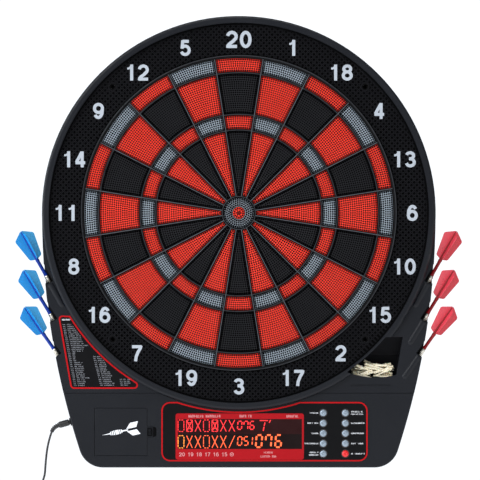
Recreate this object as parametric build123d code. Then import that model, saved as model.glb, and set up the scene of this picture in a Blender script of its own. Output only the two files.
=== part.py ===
"""Wall-hung electronic dartboard, built as an assembly of separate pieces.

Frame: X to the right, Z up, the wall is the plane Y = 0 and the front of the board faces -Y.
The origin is the centre of the four wall screws, behind the bull, on the board's back face.
"Depth" is the distance from the wall towards the front, so Y = -depth. All sizes are in millimetres.
"""

from build123d import *
import math
import os

# ---- casing ---------------------------------------------------------------------------------
BODY_RADIUS = 250.0  # round top of the casing
SIDE_RADIUS = 975.0  # long bow of the two sides below the middle
BODY_DROP = 323.5  # from the bull down to the flat bottom
CORNER_RADIUS = 31.0
WALL = 2.2
REAR_THICK = 3.0
FACE_DEPTH = 30.0  # flat front faces of the casing
RIM_DEPTH = 36.0  # rounded rim round the catch ring
FACE_ROUND = 3.5  # rounding of the casing's front edges
LIP_HEIGHT = 5.0  # rear cover's locating lip
LIP_THICK = 1.6
LIP_GAP = 0.4
SEAM_Z = -228.7  # joint between the upper casing and the console cover
SEAM_GAP = 0.5

# ---- rim, catch ring and wall screws ----------------------------------------------------------
RIM_WIDTH = 8.7
RIM_LIP = 2.7  # solid lip of the rim next to the catch ring
RING_GAP = 0.3
LEDGE_WIDTH = 4.8
LEDGE_THICK = 2.2
RING_BACK = 28.5
RING_FACE = 30.0
RING_BORDER = 31.5
BORDER_WIDTH = 2.1
RING_SKIRT = 2.0
WALL_SCREW_SPACING = 320.8
WALL_SCREW_R = 2.75
WALL_SCREW_HEAD_R = 4.3
WALL_SCREW_POST_R = 6.5
HEAD_SEAT_DEPTH = 25.5

# ---- target ---------------------------------------------------------------------------------
SECTORS = 20
NUMBERS = [20, 1, 18, 4, 13, 6, 10, 15, 2, 17, 3, 19, 7, 16, 8, 11, 14, 9, 12, 5]
BULL_WEB_R = 21.0  # centre lines of the spider's rings
TRIPLE_IN_R = 105.3
TRIPLE_OUT_R = 125.2
DOUBLE_IN_R = 178.0
DOUBLE_OUT_R = 197.9
SPIDER_OUT_R = 200.4
INNER_BULL_R = 7.9
BULL_GAP = 0.4
BULL_FLANGE = 1.4
WEB = 1.4  # thickness of the spider's ribs and rings
WEB_BACK = 19.0
WEB_FRONT = 34.2
SEGMENT_FRONT = 32.4
SEGMENT_GAP = 0.35  # between a segment and the spider
FOOT_BACK = 16.0
FOOT_FRONT = 18.6
FOOT_GAP = 0.45  # half the gap between the feet of two neighbours
SEGMENT_TRAVEL = 1.2
SEGMENT_REST = 0.4  # free space behind a fully pressed segment

# ---- sensor stack behind the segments ---------------------------------------------------------
PAD_FRONT = FOOT_BACK - SEGMENT_TRAVEL - SEGMENT_REST
PAD_THICK = 1.8
MEMBRANE_THICK = 0.6
BACKING_THICK = 4.0
FLANGE_WIDTH = 11.1
TAIL_WIDTH = 40.0
TAIL_END_Z = -244.0

# ---- console panel ----------------------------------------------------------------------------
PANEL_LEFT, PANEL_RIGHT = -98.4, 163.6
PANEL_TOP, PANEL_BOTTOM = -240.0, -315.5
PANEL_ARC_R = BODY_RADIUS + 2.3
PANEL_CORNER = 11.0
OVERLAY_THICK = 0.8
WINDOW_LEFT, WINDOW_RIGHT = -80.5, 82.8
WINDOW_TOP, WINDOW_BOTTOM = -254.4, -313.6
WINDOW_CORNER = 3.0
WINDOW_THICK = 1.2
WINDOW_LEDGE = 2.6
WINDOW_GAP = 0.15
BUTTON_COLUMNS = (107.2, 135.3)
BUTTON_TOP_Z = -254.0
BUTTON_PITCH = 12.93
BUTTON_ROWS = 5
BUTTON_R = 4.25
BUTTON_GAP = 0.35
BUTTON_FRONT = 32.2
BUTTON_DOME = 1.3
BUTTON_FLANGE_R = BUTTON_R + 1.05
BUTTON_FLANGE_THICK = 1.4
BUTTON_TRAVEL = 1.5
BUTTON_STEM_R = 1.7
BUTTON_STEM = 2.0
BUTTON_FLANGE_GAP = 0.4  # free space between the flange and the console's plate
BUTTON_NAMES = [
    "power", "page_up", "enter", "page_down", "volume",
    "game_select", "miss", "bounce_out", "language", "next_player",
]

# ---- electronics ------------------------------------------------------------------------------
BOARD_LEFT, BOARD_RIGHT = -90.0, 157.0
BOARD_TOP, BOARD_BOTTOM = -246.5, -313.0
BOARD_BACK = 16.0
BOARD_THICK = 1.6
SWITCH_SIZE = 6.0
SWITCH_GAP = 0.3  # between a fully pressed button's stem and its switch
DISPLAY_BEZEL = 1.6
DISPLAY_GLASS = 2.0
DISPLAY_ROOM = 1.2  # between the display's glass and the console's plate
SPEAKER_X, SPEAKER_Z, SPEAKER_R = 184.0, -262.0, 17.0
SPEAKER_FRAME = 3.0
MAGNET_R = 10.0
MAGNET_HEIGHT = 8.0

# ---- battery bay ------------------------------------------------------------------------------
DOOR_LEFT, DOOR_RIGHT = -183.2, -116.7
DOOR_TOP, DOOR_BOTTOM = -248.2, -308.0
DOOR_THICK = 2.0
DOOR_GAP = 0.5
DOOR_LEDGE = 2.4  # tray wall inside the door's edge
TRAY_WALL = 1.6
TRAY_BACK = 6.0
TRAY_FLOOR = 1.8
PIN_R = 0.7
PIN_REACH = 1.8
PIN_CLEARANCE = 0.08
LATCH_HEIGHT = 13.0
LATCH_REACH = 7.0
CELL_R = 7.1
CELL_LENGTH = 49.0
CELL_NUB_R = 2.7
CELL_NUB = 1.2
CELL_PITCH = 15.6
CELLS = 3

# ---- bin for spare tips -----------------------------------------------------------------------
BIN_TOP = -157.6
BIN_FLOOR = -216.0
BIN_LEFT = 138.0
BIN_RIGHT_TOP, BIN_RIGHT_BOTTOM = 208.3, 198.2
BIN_BACK = 8.0
BIN_WALL = 1.8
BIN_STEP_Z = -180.0
BIN_SLOPE_TOP, BIN_SLOPE_FOOT = 21.0, 12.0  # depths of the sloping chute above the bin
BIN_LIP_ENDS, BIN_LIP_MIDDLE = -202.5, -208.8
GROOVE = (143.0, 193.0, -220.0, -217.6)  # edges of the finger groove below the bin
GROOVE_ROUND = 1.15
GROOVE_DEEP = 0.9
TIP_LENGTH = 26.0
TIP_THREAD = 6.0
TIP_THREAD_R = 1.9
TIP_SHOULDER_R = 2.4
TIP_POINT_R = 0.7
TIP_LAYERS = [(11.6, 2.0), (17.6, -2.0), (23.6, 1.0)]  # depth and lean of each layer of lying tips
TIP_ROW_PITCH = 5.2
TIP_ROWS = [(143.6, 170.8), (143.4, 170.6), (143.2, 170.4), (161.0,), (166.0,)]  # left ends, from the floor up

# ---- darts ------------------------------------------------------------------------------------
# (half spacing in X, height, angle from the vertical, depth) of the joint of barrel and stem
DART_SEATS = [(245.2, -80.0, 29.5, 18.8), (240.1, -128.3, 31.5, 20.0), (235.3, -173.0, 35.0, 21.2)]
DART_ROLL = 10.0
DART_TRAVEL = 75.0
BARREL_R = 3.25
BARREL_LENGTH = 44.0
DART_TIP_LENGTH = 18.0
DART_TIP_R = 1.3
STEM_LENGTH = 23.5
STEM_R = 1.5
STEM_COLLAR_R = 2.4
STEM_COLLAR = 3.0
FLIGHT_THICK = 0.4
FLIGHT_OUTLINE = [(23.8, 1.6), (28.6, 7.4), (57.6, 13.6), (65.4, 1.2)]  # along, half width
SLEEVE_GAP = 0.4
SLEEVE_WALL = 1.7
NOTCH_LENGTH = 10.0
NOTCH_HALF = 5.3
NOTCH_WALL = 1.8
RIDGE_R = 5.4
RIDGE_LENGTH = 30.0
RIDGE_SUNK = 4.0  # how far the ridge's centre line lies behind the casing's face
RIDGES = {-1: 1, 1: 3}  # how many ridges each side has, from the top

# ---- power supply -----------------------------------------------------------------------------
JACK_Z = -265.6
JACK_DEPTH = 16.0
JACK_FLANGE_LENGTH, JACK_FLANGE_HEIGHT, JACK_FLANGE_THICK = 12.6, 9.6, 1.7
JACK_BODY = 8.6
JACK_BODY_LENGTH = 14.0
JACK_GAP = 0.2
JACK_BORE_R = 2.9
JACK_BORE_DEEP = 11.0
JACK_PIN_R = 0.8
PLUG_STANDOFF = 1.3
PLUG_BARREL_R = 2.7
PLUG_BARREL_BORE_R = 1.2
PLUG_BARREL_LENGTH = 9.5
PLUG_R = 4.0
PLUG_LENGTH = 13.5
RELIEF_TURN = 55.0
RELIEF_RADIUS = 14.0
RELIEF_R = 2.3
CORD_R = 1.4
CORD_FIRST_RUN = 8.0
ADAPTER_SIZE = (38.0, 26.0, 52.0)
ADAPTER_ROUND = 4.0
ADAPTER_NECK = 10.0
ADAPTER_NECK_R = 3.0
PRONG = (1.5, 6.3, 15.5)
PRONG_SPACING = 12.7

# Points of the cord in X and Z at the jack's depth, below the straight first run out of the plug.
CORD_DROP = [(-244.3, -301.0), (-246.2, -319.5), (-247.3, -339.0), (-247.4, -352.4)]
CORD_LOWER = [(-247.4, -397.6), (-246.7, -407.6), (-247.6, -419.0), (-247.4, -428.0)]
COIL_CENTRE = (-247.4, -375.0)
COIL_R = 16.0
COIL_BUNDLE_R = 6.4

# ---- screws that hold the rear cover ------------------------------------------------------------
RING_SCREW_R = BODY_RADIUS - 8.5
RING_SCREW_ANGLES = (20, 70, 110, 160, 200, 242, 298, 340)
CONSOLE_SCREWS = [(-180.0, -311.0), (180.0, -311.0), (-112.0, -236.5), (112.0, -236.5)]
SCREW_BOSS_R = 3.4
SCREW_R = 1.4
SCREW_PILOT_GAP = 0.1
SCREW_HEAD_R = 2.7
SCREW_HEAD = 1.5
SCREW_HEAD_ROOM = 0.4
SCREW_LENGTH = 12.0

RIM_IN_R = BODY_RADIUS - RIM_WIDTH
RING_OUT_R = RIM_IN_R - RING_GAP
RING_IN_R = SPIDER_OUT_R + RING_GAP
LEDGE_BACK = RING_BACK - LEDGE_THICK
BACKING_R = SPIDER_OUT_R + FLANGE_WIDTH
MEMBRANE_BACK = PAD_FRONT - PAD_THICK - MEMBRANE_THICK
BACKING_BACK = MEMBRANE_BACK - BACKING_THICK
PLATE_BACK = FACE_DEPTH - WALL  # inner face of the casing's front plates
BOARD_FRONT = BOARD_BACK + BOARD_THICK
FAR = 1000.0


# ---- helpers ----------------------------------------------------------------------------------
def slab(sketch, back, front):
    """Solid between two depths whose outline is a sketch in X and Z."""
    return extrude(Plane.XZ.offset(back) * sketch, front - back)


def ring(inner, outer):
    """Flat ring round the bull."""
    return Circle(outer) - Circle(inner)


def rectangle(left, right, bottom, top, corner=0.0, grow=0.0):
    """Rectangle in X and Z given by its edges, with optional round corners and growth."""
    width, height = right - left + 2 * grow, top - bottom + 2 * grow
    shape = RectangleRounded(width, height, corner) if corner else Rectangle(width, height)
    return Pos((left + right) / 2, (bottom + top) / 2) * shape


def disc(x, z, radius):
    """Circle at a point in X and Z."""
    return Pos(x, z) * Circle(radius)


def polar(radius, degrees):
    """Point in X and Z at an angle from +X."""
    return radius * math.cos(math.radians(degrees)), radius * math.sin(math.radians(degrees))


def bar(plane, radius, start, end):
    """Round bar along a plane's normal, between two distances from its origin."""
    return extrude(plane.offset(start) * Circle(radius), end - start)


def turned(plane, outline):
    """Solid of revolution round a plane's normal from (radius, distance) corners."""
    profile = make_face(Polyline(*[(radius, along) for radius, along in outline], close=True))
    upright = Plane(origin=plane.origin, x_dir=plane.x_dir, z_dir=-plane.y_dir)
    return revolve(upright * profile, Axis(plane.origin, plane.z_dir))


def face_of(*edges):
    """Flat face bounded by edges given in order."""
    return make_face(Wire(list(edges)))


# ---- outlines ---------------------------------------------------------------------------------
def body_outline(inset=0.0):
    """Casing outline: half circle on top, bowed sides, rounded bottom corners, moved in by inset."""
    top, side = BODY_RADIUS - inset, SIDE_RADIUS - inset
    corner = CORNER_RADIUS - inset
    bottom = inset - BODY_DROP
    side_x = BODY_RADIUS - SIDE_RADIUS
    corner_z = bottom + corner
    corner_x = side_x + math.sqrt((side - corner) ** 2 - corner_z**2)
    lean = math.degrees(math.atan2(-corner_z, corner_x - side_x))

    def on_side(degrees):
        x, z = polar(side, -degrees)
        return side_x + x, z

    def on_corner(degrees):
        x, z = polar(corner, -degrees)
        return corner_x + x, corner_z + z

    bow = ThreePointArc((top, 0), on_side(lean / 2), on_side(lean))
    turn = ThreePointArc(on_side(lean), on_corner(lean / 2 + 45), (corner_x, bottom))
    right = face_of(
        bow,
        turn,
        Line((corner_x, bottom), (0, bottom)),
        Line((0, bottom), (0, top)),
        ThreePointArc((0, top), polar(top, 45), (top, 0)),
    )
    return right + mirror(right, Plane.YZ)


def left_side(z):
    """Plane on the casing's left side at a height and the jack's depth, facing outwards."""
    angle = math.asin(-z / SIDE_RADIUS)
    x = SIDE_RADIUS - BODY_RADIUS - SIDE_RADIUS * math.cos(angle)
    outward = (-math.cos(angle), 0, -math.sin(angle))
    return Plane(origin=(x, -JACK_DEPTH, z), x_dir=(0, -1, 0), z_dir=outward)


def sector(inner, outer, gap):
    """Outline of one target cell round +Z, each side moved in by gap from its web's centre line."""
    low, high = inner + gap, outer - gap
    half_angle = math.pi / SECTORS

    def corner(radius, sign):
        angle = sign * (half_angle - math.asin(gap / radius))
        return radius * math.sin(angle), radius * math.cos(angle)

    return face_of(
        ThreePointArc(corner(high, -1), (0, high), corner(high, 1)),
        Line(corner(high, 1), corner(low, 1)),
        ThreePointArc(corner(low, 1), (0, low), corner(low, -1)),
        Line(corner(low, -1), corner(high, -1)),
    )


def panel_outline(grow=0.0):
    """Console panel: rounded rectangle whose top edge is scooped by an arc below the rim."""
    shape = rectangle(PANEL_LEFT, PANEL_RIGHT, PANEL_BOTTOM, PANEL_TOP, PANEL_CORNER, grow)
    return shape - Circle(PANEL_ARC_R - grow)


def bin_outline(grow=0.0):
    """Bin for spare tips seen from the front; its left side follows the rim's lip."""
    corners = [
        (BIN_LEFT - grow, BIN_TOP + grow),
        (BIN_RIGHT_TOP + grow, BIN_TOP + grow),
        (BIN_RIGHT_BOTTOM + grow, BIN_FLOOR - grow),
        (BIN_LEFT - grow, BIN_FLOOR - grow),
    ]
    return make_face(Polyline(*corners, close=True)) - Circle(RIM_IN_R + RIM_LIP - grow)


def bin_mouth():
    """Part of the bin above its curved front lip."""
    far = BIN_RIGHT_TOP + BIN_WALL
    middle = (BIN_LEFT + BIN_RIGHT_BOTTOM) / 2
    above = face_of(
        ThreePointArc((BIN_LEFT, BIN_LIP_ENDS), (middle, BIN_LIP_MIDDLE), (far, BIN_LIP_ENDS)),
        Line((far, BIN_LIP_ENDS), (far, BIN_TOP)),
        Line((far, BIN_TOP), (BIN_LEFT, BIN_TOP)),
        Line((BIN_LEFT, BIN_TOP), (BIN_LEFT, BIN_LIP_ENDS)),
    )
    return bin_outline() & above


def upper_region(inset=0.0):
    """Part of the casing's outline that belongs to the upper casing."""
    cut = rectangle(-FAR, FAR, -FAR, SEAM_Z)
    return (body_outline(inset) - cut) + (Circle(BODY_RADIUS) - rectangle(-FAR, FAR, SEAM_Z, FAR))


def console_region(inset=0.0):
    """Part of the casing's outline that belongs to the console cover."""
    cut = rectangle(-FAR, FAR, SEAM_Z - SEAM_GAP, FAR)
    return body_outline(inset) - cut - Circle(BODY_RADIUS + SEAM_GAP)


def wall_screw_points():
    """Positions of the four wall screws in X and Z."""
    half = WALL_SCREW_SPACING / 2
    return [(-half, half), (half, half), (half, -half), (-half, -half)]


def ring_screw_points():
    """Positions of the cover screws under the rim, in X and Z."""
    return [polar(RING_SCREW_R, degrees) for degrees in RING_SCREW_ANGLES]


# ---- darts and their seats ----------------------------------------------------------------------
def dart_plane(side, seat):
    """Plane whose z runs outwards along a dart and whose x lies across it, parallel to the wall."""
    x, z, degrees, depth = seat
    across, up = polar(1, 90 - degrees)
    return Plane(origin=(side * x, -depth, z), x_dir=(up, 0, -side * across), z_dir=(side * across, 0, up))


def dart_notch(plane, half, inward):
    """Block round a dart's axis that is open to the front and to the outside."""
    size = (2 * half, half + FACE_DEPTH, inward + 3 * NOTCH_LENGTH)
    block = Box(*size, align=(Align.CENTER, Align.MAX, Align.MIN))
    return plane * Pos(0, half, -inward) * block


def dart_holder(side, seat):
    """Material of one dart holder: walls of its notch and the sleeve behind it."""
    plane = dart_plane(side, seat)
    depth = seat[3]
    outer = BARREL_R + SLEEVE_GAP + SLEEVE_WALL
    sleeve = bar(plane, outer, -BARREL_LENGTH - 2, -NOTCH_LENGTH)
    walls = dart_notch(plane, NOTCH_HALF + NOTCH_WALL, NOTCH_LENGTH + NOTCH_WALL)
    back = depth - NOTCH_HALF - NOTCH_WALL
    return (sleeve + walls) & slab(body_outline(), back, FACE_DEPTH)


def dart_hole(side, seat):
    """Space of one dart holder: bore for barrel and tip, and the notch at the casing's edge."""
    plane = dart_plane(side, seat)
    bore = bar(plane, BARREL_R + SLEEVE_GAP, -BARREL_LENGTH - DART_TIP_LENGTH - 2, NOTCH_LENGTH)
    return bore + dart_notch(plane, NOTCH_HALF, NOTCH_LENGTH)


def dart_ridge(side, seat):
    """Raised rib on the casing's face over one dart's sleeve."""
    plane = dart_plane(side, seat)
    centre = Plane(
        origin=(plane.origin.X, RIDGE_SUNK - FACE_DEPTH, plane.origin.Z), x_dir=plane.x_dir, z_dir=plane.z_dir
    )
    start = -NOTCH_LENGTH - NOTCH_WALL
    rib = bar(centre, RIDGE_R, start - RIDGE_LENGTH, start)
    rib += centre * Pos(0, 0, start - RIDGE_LENGTH) * Sphere(RIDGE_R)
    return rib & slab(upper_region(WALL), PLATE_BACK, FACE_DEPTH + RIDGE_R)


def dart(side, seat):
    """One soft-tip dart: plastic tip, metal barrel, stem and a flight of four vanes."""
    plane = dart_plane(side, seat)
    point = -BARREL_LENGTH - DART_TIP_LENGTH
    tip = turned(plane, [(0, point), (0.5, point), (DART_TIP_R, -BARREL_LENGTH), (0, -BARREL_LENGTH)])
    barrel = turned(plane, [
        (0, -BARREL_LENGTH), (0.6 * BARREL_R, -BARREL_LENGTH), (BARREL_R, -0.8 * BARREL_LENGTH),
        (BARREL_R, -2), (0.8 * BARREL_R, 0), (0, 0),
    ])
    stem = turned(plane, [
        (0, 0), (STEM_COLLAR_R, 0), (STEM_COLLAR_R, STEM_COLLAR), (STEM_R, STEM_COLLAR + 1),
        (STEM_R, STEM_LENGTH), (0, STEM_LENGTH),
    ])
    half = [(width, along) for along, width in FLIGHT_OUTLINE]
    mirrored = [(-width, along) for width, along in reversed(half)]
    vane_shape = make_face(Polyline(*half, *mirrored, close=True))
    flight = None
    for turn in (0, 90):
        rolled = Plane(plane.location * Rot(0, 0, DART_ROLL + turn))
        vane_plane = Plane(origin=rolled.origin, x_dir=rolled.x_dir, z_dir=-rolled.y_dir)
        vane = extrude(vane_plane * vane_shape, FLIGHT_THICK / 2, both=True)
        flight = vane if flight is None else flight + vane
    return Compound([tip, barrel, stem, flight])


# ---- casing -------------------------------------------------------------------------------------
def rim():
    """Rounded bead round the catch ring, hollow behind, with the ledge the catch ring sits on."""
    radius = FACE_ROUND
    corner = radius * (1 - math.sqrt(0.5))
    top_left, top_right = (RIM_IN_R, RIM_DEPTH), (BODY_RADIUS - radius, RIM_DEPTH)
    bend = (BODY_RADIUS - corner, RIM_DEPTH - corner)
    side_top, side_foot = (BODY_RADIUS, RIM_DEPTH - radius), (BODY_RADIUS, PLATE_BACK)
    profile = face_of(
        Line((RIM_IN_R, PLATE_BACK), top_left),
        Line(top_left, top_right),
        ThreePointArc(top_right, bend, side_top),
        Line(side_top, side_foot),
        Line(side_foot, (RIM_IN_R, PLATE_BACK)),
    )
    flat = Plane(origin=(0, 0, 0), x_dir=(1, 0, 0), z_dir=(0, 0, -1))
    bead = revolve(flat * profile, Axis((0, 0, 0), (0, 1, 0)))
    hollow = slab(ring(RIM_IN_R + RIM_LIP, BODY_RADIUS - WALL), PLATE_BACK - 1, RIM_DEPTH - WALL)
    ledge = slab(ring(RIM_IN_R - LEDGE_WIDTH, RIM_IN_R + RIM_LIP), LEDGE_BACK, RING_BACK)
    lip = slab(ring(RIM_IN_R, RIM_IN_R + RIM_LIP), LEDGE_BACK, PLATE_BACK)
    return bead - hollow + ledge + lip


def screw_bosses(points, front):
    """Blind bosses for the cover screws, standing behind the front plate."""
    post = sum((disc(x, z, SCREW_BOSS_R) for x, z in points), start=Sketch())
    pilot = sum((disc(x, z, SCREW_R + SCREW_PILOT_GAP) for x, z in points), start=Sketch())
    deep = SCREW_LENGTH + 2
    return slab(post, REAR_THICK, front) - slab(pilot, REAR_THICK, REAR_THICK + deep)


def bin_shell():
    """Walls of the bin with the sloping chute above it, still closed at the front."""
    walls = slab(bin_outline(BIN_WALL), BIN_BACK - BIN_WALL, FACE_DEPTH)
    return walls - slab(bin_outline(), BIN_BACK, PLATE_BACK)


def bin_chute():
    """Sloping back of the bin's mouth, ending in a step."""
    corners = [
        (-BIN_BACK, BIN_TOP), (-BIN_SLOPE_TOP, BIN_TOP),
        (-BIN_SLOPE_FOOT, BIN_STEP_Z), (-BIN_BACK, BIN_STEP_Z),
    ]
    side = make_face(Polyline(*corners, close=True))
    wedge = extrude(Plane.YZ.offset(BIN_LEFT) * side, BIN_RIGHT_TOP - BIN_LEFT)
    return wedge & slab(bin_outline(), BIN_BACK, FACE_DEPTH)


def upper_housing():
    """Upper casing: shell, rim, dart holders with ribs, bin for spare tips and screw bosses."""
    shell = slab(upper_region() - Circle(RIM_IN_R), REAR_THICK, FACE_DEPTH)
    shell -= slab(upper_region(WALL) + Circle(BODY_RADIUS - WALL), REAR_THICK, PLATE_BACK)
    shell -= slab(ring(RIM_IN_R, BODY_RADIUS - WALL), PLATE_BACK - 1, FACE_DEPTH + 1)
    below = slab(rectangle(-FAR, FAR, -FAR, SEAM_Z), REAR_THICK - 1, PLATE_BACK - 0.01)
    shell = shell - below + rim()
    shell += screw_bosses(ring_screw_points(), LEDGE_BACK)
    shell += bin_shell()
    for side in (-1, 1):
        for seat in DART_SEATS:
            shell += dart_holder(side, seat)
        for seat in DART_SEATS[:RIDGES[side]]:
            shell += dart_ridge(side, seat)
    for side in (-1, 1):
        for seat in DART_SEATS:
            shell -= dart_hole(side, seat)
    shell -= slab(bin_mouth(), PLATE_BACK - 1, RIM_DEPTH + 1)
    shell -= slab(rectangle(*GROOVE, GROOVE_ROUND), FACE_DEPTH - GROOVE_DEEP, FACE_DEPTH + 1)
    return shell + bin_chute()


def door_outline(grow=0.0):
    """Battery door and its latch tab seen from the front."""
    middle = (DOOR_TOP + DOOR_BOTTOM) / 2
    tab = rectangle(
        DOOR_RIGHT - 1, DOOR_RIGHT + LATCH_REACH, middle - LATCH_HEIGHT / 2, middle + LATCH_HEIGHT / 2, 0, grow
    )
    return rectangle(DOOR_LEFT, DOOR_RIGHT, DOOR_BOTTOM, DOOR_TOP, 0, grow) + tab


def hinge_axis_x():
    """X of the battery door's hinge line."""
    return DOOR_LEFT + DOOR_THICK / 2


def hinge_pins(radius, reach):
    """Two pins on the door's hinge line, standing out of its top and bottom edges."""
    pins = Part()
    for z, up in ((DOOR_TOP, 1), (DOOR_BOTTOM, -1)):
        origin = (hinge_axis_x(), DOOR_THICK / 2 - FACE_DEPTH, z)
        pins += bar(Plane(origin=origin, z_dir=(0, 0, up)), radius, -1, reach)
    return pins


def battery_tray():
    """Tray for the cells behind the battery door, joined to the console cover's plate."""
    inner = rectangle(
        DOOR_LEFT + DOOR_LEDGE, DOOR_RIGHT - DOOR_LEDGE, DOOR_BOTTOM + DOOR_LEDGE, DOOR_TOP - DOOR_LEDGE
    )
    outer = door_outline(DOOR_GAP + TRAY_WALL) + rectangle(
        DOOR_LEFT - 4, DOOR_RIGHT, DOOR_BOTTOM - 4, DOOR_TOP + 4
    )
    walls = rectangle(
        DOOR_LEFT + DOOR_LEDGE - TRAY_WALL, DOOR_RIGHT - DOOR_LEDGE + TRAY_WALL,
        DOOR_BOTTOM + DOOR_LEDGE - TRAY_WALL, DOOR_TOP - DOOR_LEDGE + TRAY_WALL,
    )
    seat = FACE_DEPTH - DOOR_THICK - DOOR_GAP
    tray = slab(walls, TRAY_BACK, seat) + slab(outer, seat - TRAY_WALL, FACE_DEPTH)
    tray -= slab(inner, TRAY_BACK + TRAY_FLOOR, FACE_DEPTH)
    return tray - slab(door_outline(DOOR_GAP), seat, FACE_DEPTH)


def console_cover():
    """Lower casing that carries the display, the buttons, the battery bay and the power socket."""
    cover = slab(console_region(), REAR_THICK, FACE_DEPTH)
    cover = fillet_front(cover)
    cover -= slab(console_room(), REAR_THICK, PLATE_BACK)
    cover += screw_bosses(CONSOLE_SCREWS, PLATE_BACK)
    door_space = slab(door_outline(DOOR_GAP), PLATE_BACK - 5, FACE_DEPTH)
    cover = cover - door_space + battery_tray()
    cover -= hinge_pins(PIN_R + PIN_CLEARANCE, PIN_REACH + 0.3)
    window = rectangle(WINDOW_LEFT, WINDOW_RIGHT, WINDOW_BOTTOM, WINDOW_TOP, 0, -WINDOW_LEDGE)
    cover -= slab(window, PLATE_BACK, FACE_DEPTH)
    for x, z in button_points():
        cover -= slab(disc(x, z, BUTTON_R + BUTTON_GAP), PLATE_BACK, FACE_DEPTH)
    opening = JACK_BODY + 2 * JACK_GAP
    wall_hole = left_side(JACK_Z) * Box(opening, opening, 6 * WALL)
    return cover - wall_hole


def console_room():
    """Hollow of the console cover; its top side is closed by a wall along the seam."""
    return body_outline(WALL) - rectangle(-FAR, FAR, SEAM_Z - SEAM_GAP, FAR) - Circle(BODY_RADIUS + SEAM_GAP)


def fillet_front(cover):
    """Round the console cover's outer front edges below the seam."""
    front = cover.faces().sort_by(Axis.Y)[0]
    outer = [edge for edge in front.outer_wire().edges() if edge.center().Z < SEAM_Z - 1
             and math.hypot(edge.center().X, edge.center().Z) > BODY_RADIUS + 5]
    return fillet(outer, WALL - 0.4)


def rear_cover():
    """Flat rear cover with its lip, wall-screw posts, support ribs, screw seats and sound holes."""
    plate = slab(body_outline(), 0, REAR_THICK)
    edge = WALL + LIP_GAP
    lip = slab(body_outline(edge) - body_outline(edge + LIP_THICK), REAR_THICK, REAR_THICK + LIP_HEIGHT)
    posts = sum((disc(x, z, WALL_SCREW_POST_R) for x, z in wall_screw_points()), start=Sketch())
    ribs = ring(150, 153) + ring(60, 63) + ring(BACKING_R - 6, BACKING_R - 3)
    cover = plate + lip + slab(posts, REAR_THICK, HEAD_SEAT_DEPTH) + slab(ribs, REAR_THICK, BACKING_BACK)
    cover += slab(board_posts(), REAR_THICK, BOARD_BACK)
    for x, z in wall_screw_points():
        cover -= slab(disc(x, z, WALL_SCREW_R), 0, HEAD_SEAT_DEPTH)
    for x, z in ring_screw_points() + CONSOLE_SCREWS:
        cover -= slab(disc(x, z, SCREW_R + 0.3), 0, REAR_THICK)
        cover -= slab(disc(x, z, SCREW_HEAD_R + 0.3), 0, SCREW_HEAD + SCREW_HEAD_ROOM)
    for row in range(-2, 3):
        for column in range(-2, 3):
            if math.hypot(row, column) < 2.5:
                hole = disc(SPEAKER_X + 5 * column, SPEAKER_Z + 5 * row, 1.4)
                cover -= slab(hole, 0, REAR_THICK)
    return cover


def board_posts():
    """Posts that carry the circuit board."""
    inset = 4.0
    points = [
        (x, z)
        for x in (BOARD_LEFT + inset, (BOARD_LEFT + BOARD_RIGHT) / 2, BOARD_RIGHT - inset)
        for z in (BOARD_TOP - inset, BOARD_BOTTOM + inset)
    ]
    return sum((disc(x, z, 3.0) for x, z in points), start=Sketch())


def catch_ring():
    """Ring between the target and the rim, with raised borders, a skirt and wall-screw holes."""
    flat = slab(ring(RING_IN_R, RING_OUT_R), RING_BACK, RING_FACE)
    borders = ring(RING_OUT_R - BORDER_WIDTH, RING_OUT_R) + ring(RING_IN_R, RING_IN_R + BORDER_WIDTH / 2)
    piece = flat + slab(borders, RING_FACE, RING_BORDER)
    piece += slab(ring(RING_IN_R, RING_IN_R + RING_SKIRT), MEMBRANE_BACK + MEMBRANE_THICK, RING_BACK)
    for x, z in wall_screw_points():
        piece -= slab(disc(x, z, WALL_SCREW_HEAD_R), RING_BACK, RING_FACE)
    return piece


# ---- target -------------------------------------------------------------------------------------
def spider():
    """Web of thin rings and ribs that divides the target, with a broader outer rim."""
    web = ring(DOUBLE_OUT_R - WEB / 2, SPIDER_OUT_R)
    for radius in (BULL_WEB_R, TRIPLE_IN_R, TRIPLE_OUT_R, DOUBLE_IN_R):
        web += ring(radius - WEB / 2, radius + WEB / 2)
    reach = DOUBLE_OUT_R - BULL_WEB_R
    rib = Pos(0, (BULL_WEB_R + DOUBLE_OUT_R) / 2) * Rectangle(WEB, reach)
    for step in range(SECTORS):
        web += Rot(0, 0, (step + 0.5) * 360 / SECTORS) * rib
    outer = ring(DOUBLE_OUT_R - WEB / 2, SPIDER_OUT_R)
    foot = slab(outer, MEMBRANE_BACK + MEMBRANE_THICK, WEB_BACK)
    return slab(web, WEB_BACK, WEB_FRONT) + foot


def top_segments():
    """The four segments of the top number: double, outer single, triple and inner single."""
    solids = []
    bounds = [BULL_WEB_R, TRIPLE_IN_R, TRIPLE_OUT_R, DOUBLE_IN_R, DOUBLE_OUT_R]
    clear = ring(BULL_WEB_R + WEB / 2, DOUBLE_OUT_R - WEB / 2 - SEGMENT_GAP)
    for inner, outer in zip(bounds, bounds[1:]):
        head = slab(sector(inner, outer, WEB / 2 + SEGMENT_GAP), FOOT_BACK, SEGMENT_FRONT)
        foot = slab(sector(inner, outer, FOOT_GAP) & clear, FOOT_BACK, FOOT_FRONT)
        solids.append(head + foot)
    return Compound(solids)


def outer_bull():
    """Single bull: ring with a recess behind that takes the inner bull's flange."""
    inner = INNER_BULL_R + BULL_GAP
    head = slab(ring(inner, BULL_WEB_R - WEB / 2 - SEGMENT_GAP), FOOT_BACK, SEGMENT_FRONT)
    foot = slab(ring(inner, BULL_WEB_R - FOOT_GAP), FOOT_BACK, FOOT_FRONT)
    recess = slab(Circle(inner + BULL_FLANGE), FOOT_BACK, FOOT_BACK + BULL_FLANGE + SEGMENT_TRAVEL + 0.4)
    return head + foot - recess


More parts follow.
